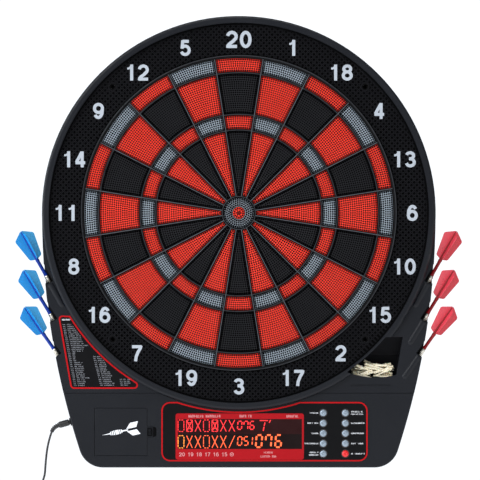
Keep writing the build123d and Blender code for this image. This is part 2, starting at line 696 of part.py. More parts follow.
def inner_bull():
    """Double bull: a plain post with a flange that keeps it behind the outer bull."""
    post = slab(Circle(INNER_BULL_R), FOOT_BACK, SEGMENT_FRONT)
    return post + slab(Circle(INNER_BULL_R + BULL_FLANGE), FOOT_BACK, FOOT_BACK + BULL_FLANGE)


def membrane():
    """Switch membrane behind the target, with the tail that leads down to the circuit board."""
    tail = rectangle(-TAIL_WIDTH / 2, TAIL_WIDTH / 2, TAIL_END_Z, 0)
    lead = tail - Circle(BACKING_R - 1)
    sheet = slab(Circle(DOUBLE_OUT_R - 2) + tail, MEMBRANE_BACK, MEMBRANE_BACK + MEMBRANE_THICK)
    drop = rectangle(-TAIL_WIDTH / 2, TAIL_WIDTH / 2, TAIL_END_Z, TAIL_END_Z + MEMBRANE_THICK)
    return sheet + slab(drop, MEMBRANE_BACK, BOARD_FRONT) + slab(lead, MEMBRANE_BACK, MEMBRANE_BACK + 0.6)


def skirt_notch():
    """Space under the spider's rim and the catch ring's skirt that lets the membrane's tail out."""
    gap = 0.4
    tail = rectangle(-TAIL_WIDTH / 2, TAIL_WIDTH / 2, TAIL_END_Z, 0, 0, gap)
    return slab(tail, MEMBRANE_BACK, MEMBRANE_BACK + MEMBRANE_THICK + gap)


# ---- console pieces -----------------------------------------------------------------------------
def button_points():
    """Centres of the buttons in X and Z, down the left column and then down the right one."""
    return [
        (x, BUTTON_TOP_Z - row * BUTTON_PITCH) for x in BUTTON_COLUMNS for row in range(BUTTON_ROWS)
    ]


def button(x, z):
    """Round push button with a domed face, a flange behind the plate and a stem."""
    plane = Plane(origin=(x, 0, z), x_dir=(1, 0, 0), z_dir=(0, -1, 0))
    flange_front = PLATE_BACK - BUTTON_FLANGE_GAP
    flange_back = flange_front - BUTTON_FLANGE_THICK
    piece = bar(plane, BUTTON_R, flange_back, BUTTON_FRONT)
    piece += bar(plane, BUTTON_FLANGE_R, flange_back, flange_front)
    piece += bar(plane, BUTTON_STEM_R, flange_back - BUTTON_STEM, flange_back)
    radius = (BUTTON_R**2 + BUTTON_DOME**2) / (2 * BUTTON_DOME)
    ball = plane * Pos(0, 0, BUTTON_FRONT + BUTTON_DOME - radius) * Sphere(radius)
    return piece + (ball & bar(plane, BUTTON_R, BUTTON_FRONT, BUTTON_FRONT + BUTTON_DOME))


def circuit_board():
    """Circuit board with its push switches, processor, resonator and capacitors."""
    board = slab(rectangle(BOARD_LEFT, BOARD_RIGHT, BOARD_BOTTOM, BOARD_TOP), BOARD_BACK, BOARD_FRONT)
    stem_end = PLATE_BACK - BUTTON_FLANGE_GAP - BUTTON_FLANGE_THICK - BUTTON_STEM
    switch_front = stem_end - BUTTON_TRAVEL - SWITCH_GAP
    for x, z in button_points():
        half = SWITCH_SIZE / 2
        board += slab(rectangle(x - half, x + half, z - half, z + half), BOARD_FRONT, switch_front - 0.8)
        board += slab(disc(x, z, 1.6), BOARD_FRONT, switch_front)
    board += slab(rectangle(20, 44, -292, -276), BOARD_BACK - 2, BOARD_BACK)
    board += slab(rectangle(54, 60, -290, -278), BOARD_BACK - 3, BOARD_BACK)
    for z in (-270, -284, -298):
        board += slab(disc(-60, z, 4), BOARD_BACK - 8, BOARD_BACK)
    return board


def display_module():
    """Liquid-crystal display: a body on the circuit board with a stepped glass front."""
    back = rectangle(WINDOW_LEFT, WINDOW_RIGHT, WINDOW_BOTTOM + 4, WINDOW_TOP - 4)
    glass = rectangle(
        WINDOW_LEFT + DISPLAY_BEZEL, WINDOW_RIGHT - DISPLAY_BEZEL,
        WINDOW_BOTTOM + 4 + DISPLAY_BEZEL, WINDOW_TOP - 4 - DISPLAY_BEZEL,
    )
    front = PLATE_BACK - DISPLAY_ROOM
    return slab(back, BOARD_FRONT, front - DISPLAY_GLASS) + slab(glass, front - DISPLAY_GLASS, front)


def display_window():
    """Clear cover over the display, flush in the panel's opening."""
    shape = rectangle(WINDOW_LEFT, WINDOW_RIGHT, WINDOW_BOTTOM, WINDOW_TOP, WINDOW_CORNER)
    return slab(shape, FACE_DEPTH, FACE_DEPTH + WINDOW_THICK)


def panel_overlay():
    """Thin printed panel on the console with openings for the window and the buttons."""
    shape = panel_outline()
    shape -= rectangle(WINDOW_LEFT, WINDOW_RIGHT, WINDOW_BOTTOM, WINDOW_TOP, WINDOW_CORNER, WINDOW_GAP)
    for x, z in button_points():
        shape -= disc(x, z, BUTTON_R + BUTTON_GAP)
    return slab(shape, FACE_DEPTH, FACE_DEPTH + OVERLAY_THICK)


def battery_door():
    """Door over the battery bay with a rounded hinge edge, two hinge pins and a latch tab."""
    axis_x = hinge_axis_x()
    plate = slab(door_outline() - rectangle(-FAR, axis_x, -FAR, FAR), FACE_DEPTH - DOOR_THICK, FACE_DEPTH)
    origin = (axis_x, DOOR_THICK / 2 - FACE_DEPTH, DOOR_BOTTOM)
    edge = bar(Plane(origin=origin, z_dir=(0, 0, 1)), DOOR_THICK / 2, 0, DOOR_TOP - DOOR_BOTTOM)
    return plate + edge + hinge_pins(PIN_R, PIN_REACH)


def batteries():
    """Row of round cells lying in the tray."""
    centre_x, centre_z = (DOOR_LEFT + DOOR_RIGHT) / 2, (DOOR_TOP + DOOR_BOTTOM) / 2
    depth = TRAY_BACK + TRAY_FLOOR + CELL_R + 0.3
    cells = []
    for index in range(CELLS):
        z = centre_z + (index - (CELLS - 1) / 2) * CELL_PITCH
        way = 1 if index % 2 else -1
        plane = Plane(origin=(centre_x, -depth, z), z_dir=(way, 0, 0))
        cell = bar(plane, CELL_R, -CELL_LENGTH / 2, CELL_LENGTH / 2)
        cells.append(cell + bar(plane, CELL_NUB_R, CELL_LENGTH / 2, CELL_LENGTH / 2 + CELL_NUB))
    return Compound(cells)


def speaker():
    """Small loudspeaker on the rear cover, behind its sound holes."""
    frame = slab(disc(SPEAKER_X, SPEAKER_Z, SPEAKER_R), REAR_THICK, REAR_THICK + SPEAKER_FRAME)
    top = REAR_THICK + SPEAKER_FRAME
    return frame + slab(disc(SPEAKER_X, SPEAKER_Z, MAGNET_R), top, top + MAGNET_HEIGHT)


def spare_tips():
    """Spare soft tips lying in the bin in rows and layers, the upper rows with one tip each."""
    tips = []
    for depth, lean in TIP_LAYERS:
        along, up = polar(1, lean)
        for row, left_ends in enumerate(TIP_ROWS):
            z = BIN_FLOOR + 2.8 + row * TIP_ROW_PITCH - up * TIP_LENGTH / 2
            for x in left_ends:
                plane = Plane(origin=(x, -depth, z), x_dir=(-up, 0, along), z_dir=(along, 0, up))
                tips.append(turned(plane, [
                    (0, 0), (TIP_THREAD_R, 0), (TIP_THREAD_R, TIP_THREAD), (TIP_SHOULDER_R, TIP_THREAD),
                    (TIP_SHOULDER_R, TIP_THREAD + 2), (TIP_POINT_R, TIP_LENGTH), (0, TIP_LENGTH),
                ]))
    return Compound(tips)


def cover_screws():
    """Self-tapping screws that hold the rear cover, all alike."""
    screws = []
    for x, z in ring_screw_points() + CONSOLE_SCREWS:
        seat = SCREW_HEAD + SCREW_HEAD_ROOM
        head = slab(disc(x, z, SCREW_HEAD_R), SCREW_HEAD_ROOM, seat)
        slot = slab(rectangle(x - 2, x + 2, z - 0.3, z + 0.3), SCREW_HEAD_ROOM, SCREW_HEAD_ROOM + 0.8)
        slot += slab(rectangle(x - 0.3, x + 0.3, z - 2, z + 2), SCREW_HEAD_ROOM, SCREW_HEAD_ROOM + 0.8)
        screws.append(head - slot + slab(disc(x, z, SCREW_R), seat, SCREW_LENGTH))
    return Compound(screws)


# ---- power supply -------------------------------------------------------------------------------
def dc_jack():
    """Power socket in the casing's left side with its flange, bore and centre pin."""
    plane = left_side(JACK_Z)
    flange = plane * Pos(0, 0, JACK_FLANGE_THICK / 2 + 0.1) * Box(
        JACK_FLANGE_LENGTH, JACK_FLANGE_HEIGHT, JACK_FLANGE_THICK
    )
    body = plane * Pos(0, 0, 0.1) * Box(
        JACK_BODY, JACK_BODY, JACK_BODY_LENGTH, align=(Align.CENTER, Align.CENTER, Align.MAX)
    )
    face = JACK_FLANGE_THICK + 0.1
    bore = bar(plane, JACK_BORE_R, face - JACK_BORE_DEEP, face)
    pin = bar(plane, JACK_PIN_R, face - JACK_BORE_DEEP - 0.5, face - 2)
    return flange + body - bore + pin


def relief_plane():
    """Plane at the far end of the plug's bent strain relief, facing along the cord."""
    plane = left_side(JACK_Z)
    start = plane.origin + plane.z_dir * (JACK_FLANGE_THICK + PLUG_STANDOFF + PLUG_LENGTH)
    lean = math.degrees(math.asin(-plane.z_dir.Z))
    end_lean = lean + RELIEF_TURN
    (first_x, first_z), (last_x, last_z) = polar(1, lean), polar(1, end_lean)
    end = (
        start.X - RELIEF_RADIUS * (last_z - first_z),
        start.Y,
        start.Z - RELIEF_RADIUS * (first_x - last_x),
    )
    return Plane(origin=end, x_dir=(0, -1, 0), z_dir=(-last_x, 0, -last_z))


def dc_plug():
    """Plug in the socket: metal barrel, moulded grip and a bent strain relief."""
    plane = left_side(JACK_Z)
    start = JACK_FLANGE_THICK + PLUG_STANDOFF
    barrel = bar(plane, PLUG_BARREL_R, start - PLUG_BARREL_LENGTH, start)
    barrel -= bar(plane, PLUG_BARREL_BORE_R, start - PLUG_BARREL_LENGTH, start)
    grip = bar(plane, PLUG_R, start, start + PLUG_LENGTH)
    grip = chamfer(grip.edges().filter_by(GeomType.CIRCLE), 0.8)
    root = plane.offset(start + PLUG_LENGTH)
    end = relief_plane()
    arc = TangentArc(root.origin, end.origin, tangent=root.z_dir)
    relief = sweep(root * Circle(RELIEF_R), path=arc)
    return barrel + grip + relief


def cord_points():
    """All route points of the upper cord run, from the plug's relief down to the coil."""
    plane = relief_plane()
    first = plane.origin
    second = first + plane.z_dir * CORD_FIRST_RUN
    return [(first.X, first.Z), (second.X, second.Z), *CORD_DROP]


def cord_tube(points):
    """Round tube along a route of straight runs joined by tangent arcs."""
    corners = [Vector(x, -JACK_DEPTH, z) for x, z in points]
    radii = []
    for before, here, after in zip(corners, corners[1:], corners[2:]):
        turn = math.radians((here - before).get_angle(after - here))
        shorter = min((here - before).length, (after - here).length)
        radii.append(0.45 * shorter / math.tan(turn / 2))
    print("cord radii", [round(radius, 1) for radius in radii])
    path = FilletPolyline(*corners, radius=radii)
    start = Plane(origin=corners[0], z_dir=corners[1] - corners[0])
    tube = sweep(start * Circle(CORD_R), path=path)
    expected = math.pi * CORD_R**2 * path.length
    print("cord volume", round(tube.volume, 1), "section by length", round(expected, 1))
    return tube


def cord_coil():
    """Outer shape of the spare cord, wound up and tied."""
    x, z = COIL_CENTRE
    plane = Plane(origin=(x, -JACK_DEPTH, z), x_dir=(1, 0, 0), z_dir=(0, -1, 0))
    return plane * Torus(COIL_R, COIL_BUNDLE_R)


def adapter():
    """Wall adapter hanging on the cord, with its neck and two prongs."""
    x, z = CORD_LOWER[-1]
    width, thick, height = ADAPTER_SIZE
    top = z - ADAPTER_NECK
    body = Pos(x, -JACK_DEPTH, top - height / 2) * Box(width, thick, height)
    body = fillet(body.edges(), ADAPTER_ROUND)
    neck = bar(Plane(origin=(x, -JACK_DEPTH, z), z_dir=(0, 0, -1)), ADAPTER_NECK_R, 0.1, ADAPTER_NECK + 1)
    piece = body + neck
    for side in (-1, 1):
        place = Pos(x + side * PRONG_SPACING / 2, -JACK_DEPTH, top - height - PRONG[2] / 2 + 0.5)
        piece += place * Box(PRONG[0], PRONG[1], PRONG[2] + 1)
    return piece


# ---- pieces by name -----------------------------------------------------------------------------
def pieces():
    """Every piece of the board, by the name of its node."""
    parts = {
        "rear_cover": rear_cover(),
        "upper_housing": upper_housing(),
        "console_cover": console_cover(),
        "catch_ring": catch_ring() - skirt_notch(),
        "spider": spider() - skirt_notch(),
        "foam_sheet": slab(Circle(DOUBLE_OUT_R - 2), PAD_FRONT - PAD_THICK, PAD_FRONT),
        "sensor_membrane": membrane(),
        "backing_plate": slab(Circle(BACKING_R), BACKING_BACK, MEMBRANE_BACK),
        "circuit_board": circuit_board(),
        "display_module": display_module(),
        "display_window": display_window(),
        "panel_overlay": panel_overlay(),
        "battery_door": battery_door(),
        "batteries": batteries(),
        "speaker": speaker(),
        "spare_tips": spare_tips(),
        "cover_screws": cover_screws(),
        "dc_jack": dc_jack(),
        "dc_plug": dc_plug(),
        "cord_tube": Compound([cord_tube(cord_points()), cord_tube(CORD_LOWER)]),
        "cord_coil": cord_coil(),
        "adapter": adapter(),
        "outer_bull": outer_bull(),
        "inner_bull": inner_bull(),
    }
    wedge = top_segments()
    for step, number in enumerate(NUMBERS):
        parts[f"segments_{number:02d}"] = Rot(0, step * 360 / SECTORS, 0) * wedge
    for name, (x, z) in zip(BUTTON_NAMES, button_points()):
        parts[f"button_{name}"] = button(x, z)
    for side, word in ((-1, "left"), (1, "right")):
        for index, seat in enumerate(DART_SEATS):
            parts[f"dart_{word}_{index + 1}"] = dart(side, seat)
    return parts


os.makedirs("parts", exist_ok=True)
for node, shape in pieces().items():
    export_step(shape, f"parts/{node}.step")
    print(node, "solids", len(shape.solids()), "volume", round(shape.volume))
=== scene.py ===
"""Looks of the electronic dartboard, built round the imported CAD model.

Frame: X to the right, Z up, the wall is Y = 0 and the front faces -Y. Sizes are in millimetres in
the tables and helpers below and in metres on the objects. "Depth" is the distance from the wall.
"""

import math
import random

import bpy
import numpy as np
from mathutils import Matrix, Vector


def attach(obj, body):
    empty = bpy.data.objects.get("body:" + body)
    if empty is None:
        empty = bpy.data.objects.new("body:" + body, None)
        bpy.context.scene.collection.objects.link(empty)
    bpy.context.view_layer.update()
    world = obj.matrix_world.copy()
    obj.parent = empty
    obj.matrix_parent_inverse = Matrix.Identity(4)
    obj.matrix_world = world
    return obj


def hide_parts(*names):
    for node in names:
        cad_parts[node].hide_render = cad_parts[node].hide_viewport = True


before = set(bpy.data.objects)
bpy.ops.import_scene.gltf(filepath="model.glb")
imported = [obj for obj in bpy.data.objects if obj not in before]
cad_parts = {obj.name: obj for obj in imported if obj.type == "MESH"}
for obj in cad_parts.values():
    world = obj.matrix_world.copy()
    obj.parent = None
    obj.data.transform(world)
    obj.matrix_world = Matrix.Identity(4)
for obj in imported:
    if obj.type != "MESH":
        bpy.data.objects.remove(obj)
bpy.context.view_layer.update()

MM = 0.001
NUMBERS = [20, 1, 18, 4, 13, 6, 10, 15, 2, 17, 3, 19, 7, 16, 8, 11, 14, 9, 12, 5]
SECTOR = 2 * math.pi / len(NUMBERS)

# Target: centre lines of the spider's rings, and the depths of its parts.
BULL_R, TRIPLE_IN_R, TRIPLE_OUT_R, DOUBLE_IN_R, DOUBLE_OUT_R = 21.0, 105.3, 125.2, 178.0, 197.9
SPIDER_OUT_R = 200.4
WEB = 1.4
WEB_BACK, WEB_FRONT = 19.0, 34.2
SEGMENT_BACK, SEGMENT_FRONT = 16.0, 32.4
SEGMENT_GAP = WEB / 2 + 0.55
HOLE_PITCH = 2.78
HOLE_R = 1.19
HOLE_DEEP = 2.4
BORDER = 0.6
CROWN, CROWN_WIDTH = 1.5, 4.2
INNER_BULL_R = 7.9

# Casing faces.
FACE = 30.0
CASING_WALL = 2.2
RING_FACE = 30.0
CASING_WALL = 2.2
RING_IN_R, RING_OUT_R = 201.8, 238.9
LATTICE_PITCH = 5.0
LATTICE_WIDTH = 1.7
LATTICE_HIGH = 1.0
WALL_SCREW = 160.4
NUMBER_R = 220.3


# ---- camera, light and stage -------------------------------------------------------------------
def make_camera():
    """Long lens straight in front of the board."""
    camera = bpy.data.objects.new("camera", bpy.data.cameras.new("camera"))
    bpy.context.scene.collection.objects.link(camera)
    distance, width = 5.0, 0.6096
    camera.location = (0.0015, -0.03 - distance, -0.0344)
    camera.rotation_euler = (math.pi / 2, 0, 0)
    camera.data.sensor_width = 36
    camera.data.lens = 36 * distance / width
    camera.data.clip_end = 50
    bpy.context.scene.camera = camera


def make_light(name, place, aim, size, power, colour=(1, 1, 1)):
    """Square softbox at a place, turned to a point."""
    lamp = bpy.data.lights.new(name, "AREA")
    lamp.shape = "SQUARE"
    lamp.size = size
    lamp.energy = power
    lamp.color = colour
    light = bpy.data.objects.new(name, lamp)
    bpy.context.scene.collection.objects.link(light)
    light.location = place
    light.rotation_euler = (Vector(aim) - Vector(place)).to_track_quat("-Z", "Y").to_euler()


def make_world(strength, shown):
    """Even pale surroundings: a soft light of one strength, and a brighter plain backdrop."""
    world = bpy.data.worlds.new("studio")
    world.use_nodes = True
    tree = world.node_tree
    background = tree.nodes["Background"]
    background.inputs["Color"].default_value = (0.93, 0.96, 1.0, 1)
    seen = tree.nodes.new("ShaderNodeLightPath")
    level = tree.nodes.new("ShaderNodeMapRange")
    level.inputs["To Min"].default_value, level.inputs["To Max"].default_value = strength, shown
    tree.links.new(seen.outputs["Is Camera Ray"], level.inputs["Value"])
    tree.links.new(level.outputs["Result"], background.inputs["Strength"])
    bpy.context.scene.world = world


make_camera()
bpy.context.scene.view_settings.view_transform = "Standard"
make_world(0.42, 1.15)
make_light("key", (-1.9, -2.6, 1.9), (0, 0, 0), 1.6, 64)
make_light("fill", (2.2, -2.8, 0.3), (0, 0, -0.1), 2.0, 8, (0.92, 0.96, 1.0))
make_light("side", (-2.8, -0.7, 0.4), (0, 0, 0), 1.2, 60, (0.88, 0.94, 1.0))
make_light("top", (0.2, -0.7, 2.4), (0, -0.05, 0), 1.2, 26)


# ---- mesh building -----------------------------------------------------------------------------
def turn(x, z, step):
    """Point in X and Z turned clockwise round the bull by a number of sectors."""
    angle = step * SECTOR
    return x * math.cos(angle) + z * math.sin(angle), z * math.cos(angle) - x * math.sin(angle)


def polar(radius, angle):
    """Point in X and Z at an angle clockwise from the top."""
    return radius * math.sin(angle), radius * math.cos(angle)


class Shape:
    """Mesh being built from points given as (x, depth, z) in millimetres."""

    def __init__(self):
        self.points, self.faces, self.slots = [], [], []

    def add(self, points):
        """Adds points and returns their indices."""
        start = len(self.points)
        self.points.extend(points)
        return list(range(start, len(self.points)))

    def face(self, indices, slot=0):
        """One face; its front is the side from which its points run anticlockwise."""
        self.faces.append(indices)
        self.slots.append(slot)

    def band(self, low, high, slot=0, closed=True):
        """Quads between two rows of points of equal length."""
        count = len(low)
        for i in range(count if closed else count - 1):
            j = (i + 1) % count
            self.face([low[i], low[j], high[j], high[i]], slot)

    def prism(self, outline, back, front, slot=0, edge=0.0, place=tuple):
        """Plate with an anticlockwise outline in X and Z, with an optional bevel at its front.
        place may turn its (x, depth, z) points into another position."""
        levels = [(outline, back), (outline, front - edge)]
        if edge:
            levels.append((offset(outline, -edge), front))
        rows = [self.add([place((x, depth, z)) for x, z in loop]) for loop, depth in levels]
        for low, high in zip(rows, rows[1:]):
            self.band(low, high, slot)
        self.face(rows[-1], slot)
        self.face(rows[0][::-1], slot)

    def frame(self, outline, width, back, front, slot=0):
        """Flat line of a given width along the inside of a closed outline."""
        inner = offset(outline, -width)
        a, b = self.add([(x, back, z) for x, z in outline]), self.add([(x, front, z) for x, z in outline])
        c, d = self.add([(x, front, z) for x, z in inner]), self.add([(x, back, z) for x, z in inner])
        for low, high in ((a, b), (b, c), (c, d), (d, a)):
            self.band(low, high, slot)

    def stroke(self, start, end, width, back, front, slot=0):
        """Straight bar in the plane of the face."""
        (x0, z0), (x1, z1) = start, end
        length = math.hypot(x1 - x0, z1 - z0)
        nx, nz = -(z1 - z0) / length * width / 2, (x1 - x0) / length * width / 2
        self.prism([(x0 - nx, z0 - nz), (x1 - nx, z1 - nz), (x1 + nx, z1 + nz), (x0 + nx, z0 + nz)], back, front, slot)

    def revolve(self, profile, place, count=24, slot=0):
        """Solid of revolution from (radius, along) points; place turns (x, y, along) into the frame."""
        rings = []
        for radius, along in profile:
            ring = [(radius * math.cos(2 * math.pi * i / count), radius * math.sin(2 * math.pi * i / count), along)
                    for i in range(count)]
            rings.append(self.add([place(point) for point in ring]))
        for low, high in zip(rings, rings[1:]):
            self.band(low, high, slot)
        self.face(rings[0][::-1], slot)
        self.face(rings[-1], slot)

    def make(self, name, body, materials, slot_name, smooth=False, step=0, replaces=()):
        """The finished object, riding on a body and turned by a number of sectors."""
        data = np.array(self.points, dtype=float)
        x, z = turn(data[:, 0], data[:, 2], step)
        mesh = bpy.data.meshes.new(name)
        mesh.from_pydata((np.column_stack((x, -data[:, 1], z)) * MM).tolist(), [], self.faces)
        mesh.validate()
        for item in materials:
            mesh.materials.append(item)
        mesh.polygons.foreach_set("material_index", self.slots)
        if smooth:
            mesh.shade_smooth()
            mesh.set_sharp_from_angle(angle=math.radians(38))
        mesh.update()
        return adopt(bpy.data.objects.new(name, mesh), body, replaces)


def adopt(piece, body, replaces=()):
    """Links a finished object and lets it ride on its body."""
    if piece.name not in bpy.context.scene.collection.objects:
        bpy.context.scene.collection.objects.link(piece)
    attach(piece, body)
    if replaces:
        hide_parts(*replaces)
    return piece


def offset(outline, distance):
    """Closed outline moved outwards by a distance, with mitred corners."""
    moved = []
    for i, (x, z) in enumerate(outline):
        (px, pz), (nx, nz) = outline[i - 1], outline[(i + 1) % len(outline)]
        first, second = Vector((x - px, z - pz)).normalized(), Vector((nx - x, nz - z)).normalized()
        normal = Vector((first.y + second.y, -first.x - second.x))
        normal *= distance * 2 / max(normal.length_squared, 0.5)
        moved.append((x + normal.x, z + normal.y))
    return moved


def rounded(corners, steps=5):
    """Closed outline from (x, z, radius) corners, each rounded by an arc."""
    points = []
    for i, (x, z, radius) in enumerate(corners):
        here = Vector((x, z))
        if not radius:
            points.append((x, z))
            continue
        before = (Vector(corners[i - 1][:2]) - here).normalized()
        after = (Vector(corners[(i + 1) % len(corners)][:2]) - here).normalized()
        half = before.angle(after) / 2
        centre = here + (before + after).normalized() * radius / math.sin(half)
        start = here + before * radius / math.tan(half) - centre
        sweep = start.angle_signed(here + after * radius / math.tan(half) - centre)
        for k in range(steps + 1):
            spoke = start.copy()
            spoke.rotate(Matrix.Rotation(-sweep * k / steps, 2))
            points.append(tuple(centre + spoke))
    return points


def circle(x, z, radius, count=24):
    """Anticlockwise circle in X and Z."""
    return [(x + radius * math.cos(2 * math.pi * i / count), z + radius * math.sin(2 * math.pi * i / count))
            for i in range(count)]


# ---- materials ---------------------------------------------------------------------------------
def linear(srgb):
    """Linear colour of an 8-bit screen colour."""
    return [(c / 255 / 12.92 if c <= 10 else ((c / 255 + 0.055) / 1.055) ** 2.4) for c in srgb] + [1]


def plastic(name, srgb, rough=0.4, shade=0.08, patch=0.03, grain=0.0, grain_size=0.0006, **sockets):
    """Moulded plastic: colour and roughness vary in soft patches, and a fine grain roughens the surface.
    shade is the colour's variation, patch and grain_size are sizes in metres, and sockets are the shader's own."""
    made = bpy.data.materials.new(name)
    made.use_nodes = True
    tree = made.node_tree
    shader = tree.nodes["Principled BSDF"]
    place = tree.nodes.new("ShaderNodeTexCoord")

    def noise(size, detail):
        node = tree.nodes.new("ShaderNodeTexNoise")
        node.inputs["Scale"].default_value = 1 / size
        node.inputs["Detail"].default_value = detail
        tree.links.new(place.outputs["Object"], node.inputs["Vector"])
        return node.outputs["Fac"]

    soft = noise(patch, 4)
    mix = tree.nodes.new("ShaderNodeMix")
    mix.data_type = "RGBA"
    colour = linear(srgb)
    mix.inputs["A"].default_value = [c * (1 - shade) for c in colour[:3]] + [1]
    mix.inputs["B"].default_value = [min(c * (1 + shade), 1) for c in colour[:3]] + [1]
    tree.links.new(soft, mix.inputs["Factor"])
    tree.links.new(mix.outputs["Result"], shader.inputs["Base Color"])
    spread = tree.nodes.new("ShaderNodeMapRange")
    spread.inputs["From Min"].default_value, spread.inputs["From Max"].default_value = 0.3, 0.7
    spread.inputs["To Min"].default_value = max(rough - 0.06, 0.02)
    spread.inputs["To Max"].default_value = rough + 0.06
    tree.links.new(soft, spread.inputs["Value"])
    tree.links.new(spread.outputs["Result"], shader.inputs["Roughness"])
    if grain:
        bump = tree.nodes.new("ShaderNodeBump")
        bump.inputs["Strength"].default_value = grain
        bump.inputs["Distance"].default_value = grain_size * 0.5
        tree.links.new(noise(grain_size, 3), bump.inputs["Height"])
        tree.links.new(bump.outputs["Normal"], shader.inputs["Normal"])
    for socket, value in sockets.items():
        shader.inputs[socket.replace("_", " ")].default_value = value
    return made


def glow(name, srgb, strength):
    """Lit mark on the display."""
    made = plastic(name, srgb, 0.5)
    shader = made.node_tree.nodes["Principled BSDF"]
    shader.inputs["Emission Color"].default_value = linear(srgb)
    shader.inputs["Emission Strength"].default_value = strength
    return made


def metal_below(made, level, srgb):
    """Turns a material into bare metal below a height in metres."""
    tree = made.node_tree
    shader = tree.nodes["Principled BSDF"]
    parts = tree.nodes.new("ShaderNodeSeparateXYZ")
    tree.links.new(tree.nodes["Texture Coordinate"].outputs["Object"], parts.inputs["Vector"])
    below = tree.nodes.new("ShaderNodeMath")
    below.operation = "LESS_THAN"
    below.inputs[1].default_value = level
    tree.links.new(parts.outputs["Z"], below.inputs[0])
    mix = tree.nodes.new("ShaderNodeMix")
    mix.data_type = "RGBA"
    mix.inputs["B"].default_value = linear(srgb)
    tree.links.new(below.outputs["Value"], mix.inputs["Factor"])
    tree.links.new(shader.inputs["Base Color"].links[0].from_socket, mix.inputs["A"])
    tree.links.new(mix.outputs["Result"], shader.inputs["Base Color"])
    tree.links.new(below.outputs["Value"], shader.inputs["Metallic"])


CHARCOAL = plastic("charcoal_plastic", (20, 22, 27), 0.36, 0.07, 0.05, 0.35, 0.0008, Specular_IOR_Level=0.18)
BLACK = plastic("black_plastic", (18, 18, 20), 0.45, 0.1, 0.03, 0.3, Specular_IOR_Level=0.12)
# Painted light and shade on the catch ring: its face, seen in the pits between the ridges, takes a near-black copy, and
# the ridges a lighter copy, of one black plastic.
RING_BLACK_PIT_SHADE = plastic("catch_ring_plastic", (5, 5, 6), 0.5, 0.12, 0.02, 0.2, Specular_IOR_Level=0.03)
RIDGE_PAINTED_LIGHT = plastic("catch_ring_ridges_painted_light", (19, 19, 22), 0.4, 0.15, 0.02, 0.15, Specular_IOR_Level=0.08)
SPIDER = plastic("spider_plastic", (66, 69, 74), 0.3, 0.1, 0.02, 0.1, Specular_IOR_Level=0.35)
# Painted shade: a darker copy of the spider plastic for its thin rings.
SPIDER_RING_SHADED = plastic("spider_rings_painted_shade", (40, 42, 46), 0.3, 0.1, 0.02, 0.1, Specular_IOR_Level=0.3)
RED = plastic("red_segment", (255, 58, 38), 0.36, 0.07, 0.02, 0.1, Specular_IOR_Level=0.35)
DARK = plastic("black_segment", (36, 36, 39), 0.42, 0.1, 0.02, 0.1, Specular_IOR_Level=0.15)
GREY = plastic("grey_segment", (146, 157, 167), 0.36, 0.06, 0.02, 0.1, Specular_IOR_Level=0.3)
# Painted shade: a near-black colour, and a dark red one for red parts, on the holes' walls and floors, the segments'
# borders and the latch's flat recess patches, in place of the shade there.
PAINTED_SHADE = plastic("painted_shade_black", (4, 4, 5), 0.7, Specular_IOR_Level=0.05)
PAINTED_SHADE_RED = plastic("painted_shade_dark_red", (46, 6, 5), 0.6)
NUMERAL = plastic("numeral_silver", (166, 173, 182), 0.45, 0.06, 0.003, 0.5, 0.0014, Specular_IOR_Level=0.3)
PANEL = plastic("panel_print", (10, 10, 12), 0.35, 0.1, 0.03, 0.05, Specular_IOR_Level=0.1)
RED_LINE = plastic("red_line", (168, 12, 18), 0.4, 0.04, Specular_IOR_Level=0.1)
RED_BAND = plastic("red_band", (156, 16, 24), 0.35, 0.05, Specular_IOR_Level=0.1)
LABEL_TEXT = plastic("label_text", (116, 118, 124), 0.5, 0.08)
LABEL_BOLD = plastic("label_title", (205, 207, 212), 0.5, 0.05)
BAND_TEXT = plastic("band_text", (196, 128, 130), 0.5, 0.05)
SCREEN = plastic("display_glass", (36, 9, 10), 0.2, 0.15, 0.02, Specular_IOR_Level=0.15)
SCREEN_LOW = plastic("display_glass_low", (19, 8, 8), 0.2, 0.15, 0.02, Specular_IOR_Level=0.15)
RED_GLOW = glow("display_red", (238, 34, 40), 0.62)
ORANGE_GLOW = glow("display_orange", (240, 84, 40), 0.72)
SILVER = plastic("button_silver", (132, 145, 158), 0.28, 0.08, 0.003, 0.1, Metallic=0.35)
BUTTON_RED = plastic("button_red", (206, 22, 26), 0.3, 0.06, 0.003)
WHITE = plastic("emblem_white", (232, 234, 238), 0.45, 0.04)
CREAM = plastic("cream_plastic", (244, 232, 204), 0.36, 0.08, 0.004, Subsurface_Weight=0.1)
NICKEL = plastic("dart_nickel", (190, 186, 176), 0.28, 0.1, 0.004, 0.2, Metallic=1.0)
CORD = plastic("cord_plastic", (24, 24, 26), 0.5, 0.1, 0.01, 0.3)
ADAPTER = plastic("adapter_plastic", (27, 27, 29), 0.5, 0.08, 0.02, 0.4, 0.0007)
metal_below(ADAPTER, -0.4901, (200, 198, 190))
STEEL = plastic("screw_steel", (150, 150, 152), 0.35, 0.1, 0.004, 0.2, Metallic=1.0)
FOAM = plastic("foam", (30, 30, 30), 0.9, 0.15, 0.004, 0.6, 0.0008)
FILM = plastic("membrane_film", (150, 160, 150), 0.3, 0.08, 0.01)
FIBRE = plastic("fibre_board", (112, 84, 56), 0.8, 0.15, 0.006, 0.5, 0.0009)
BOARD = plastic("circuit_board", (24, 82, 44), 0.4, 0.15, 0.004, 0.2)
WRAP = plastic("battery_wrap", (34, 34, 38), 0.3, 0.1, 0.01)
FLOOR = plastic("studio_floor", (248, 249, 250), 0.8, 0.01, 0.5)
FLOOR.node_tree.nodes["Principled BSDF"].inputs["Emission Color"].default_value = (1, 1, 1, 1)
FLOOR.node_tree.nodes["Principled BSDF"].inputs["Emission Strength"].default_value = 0.65


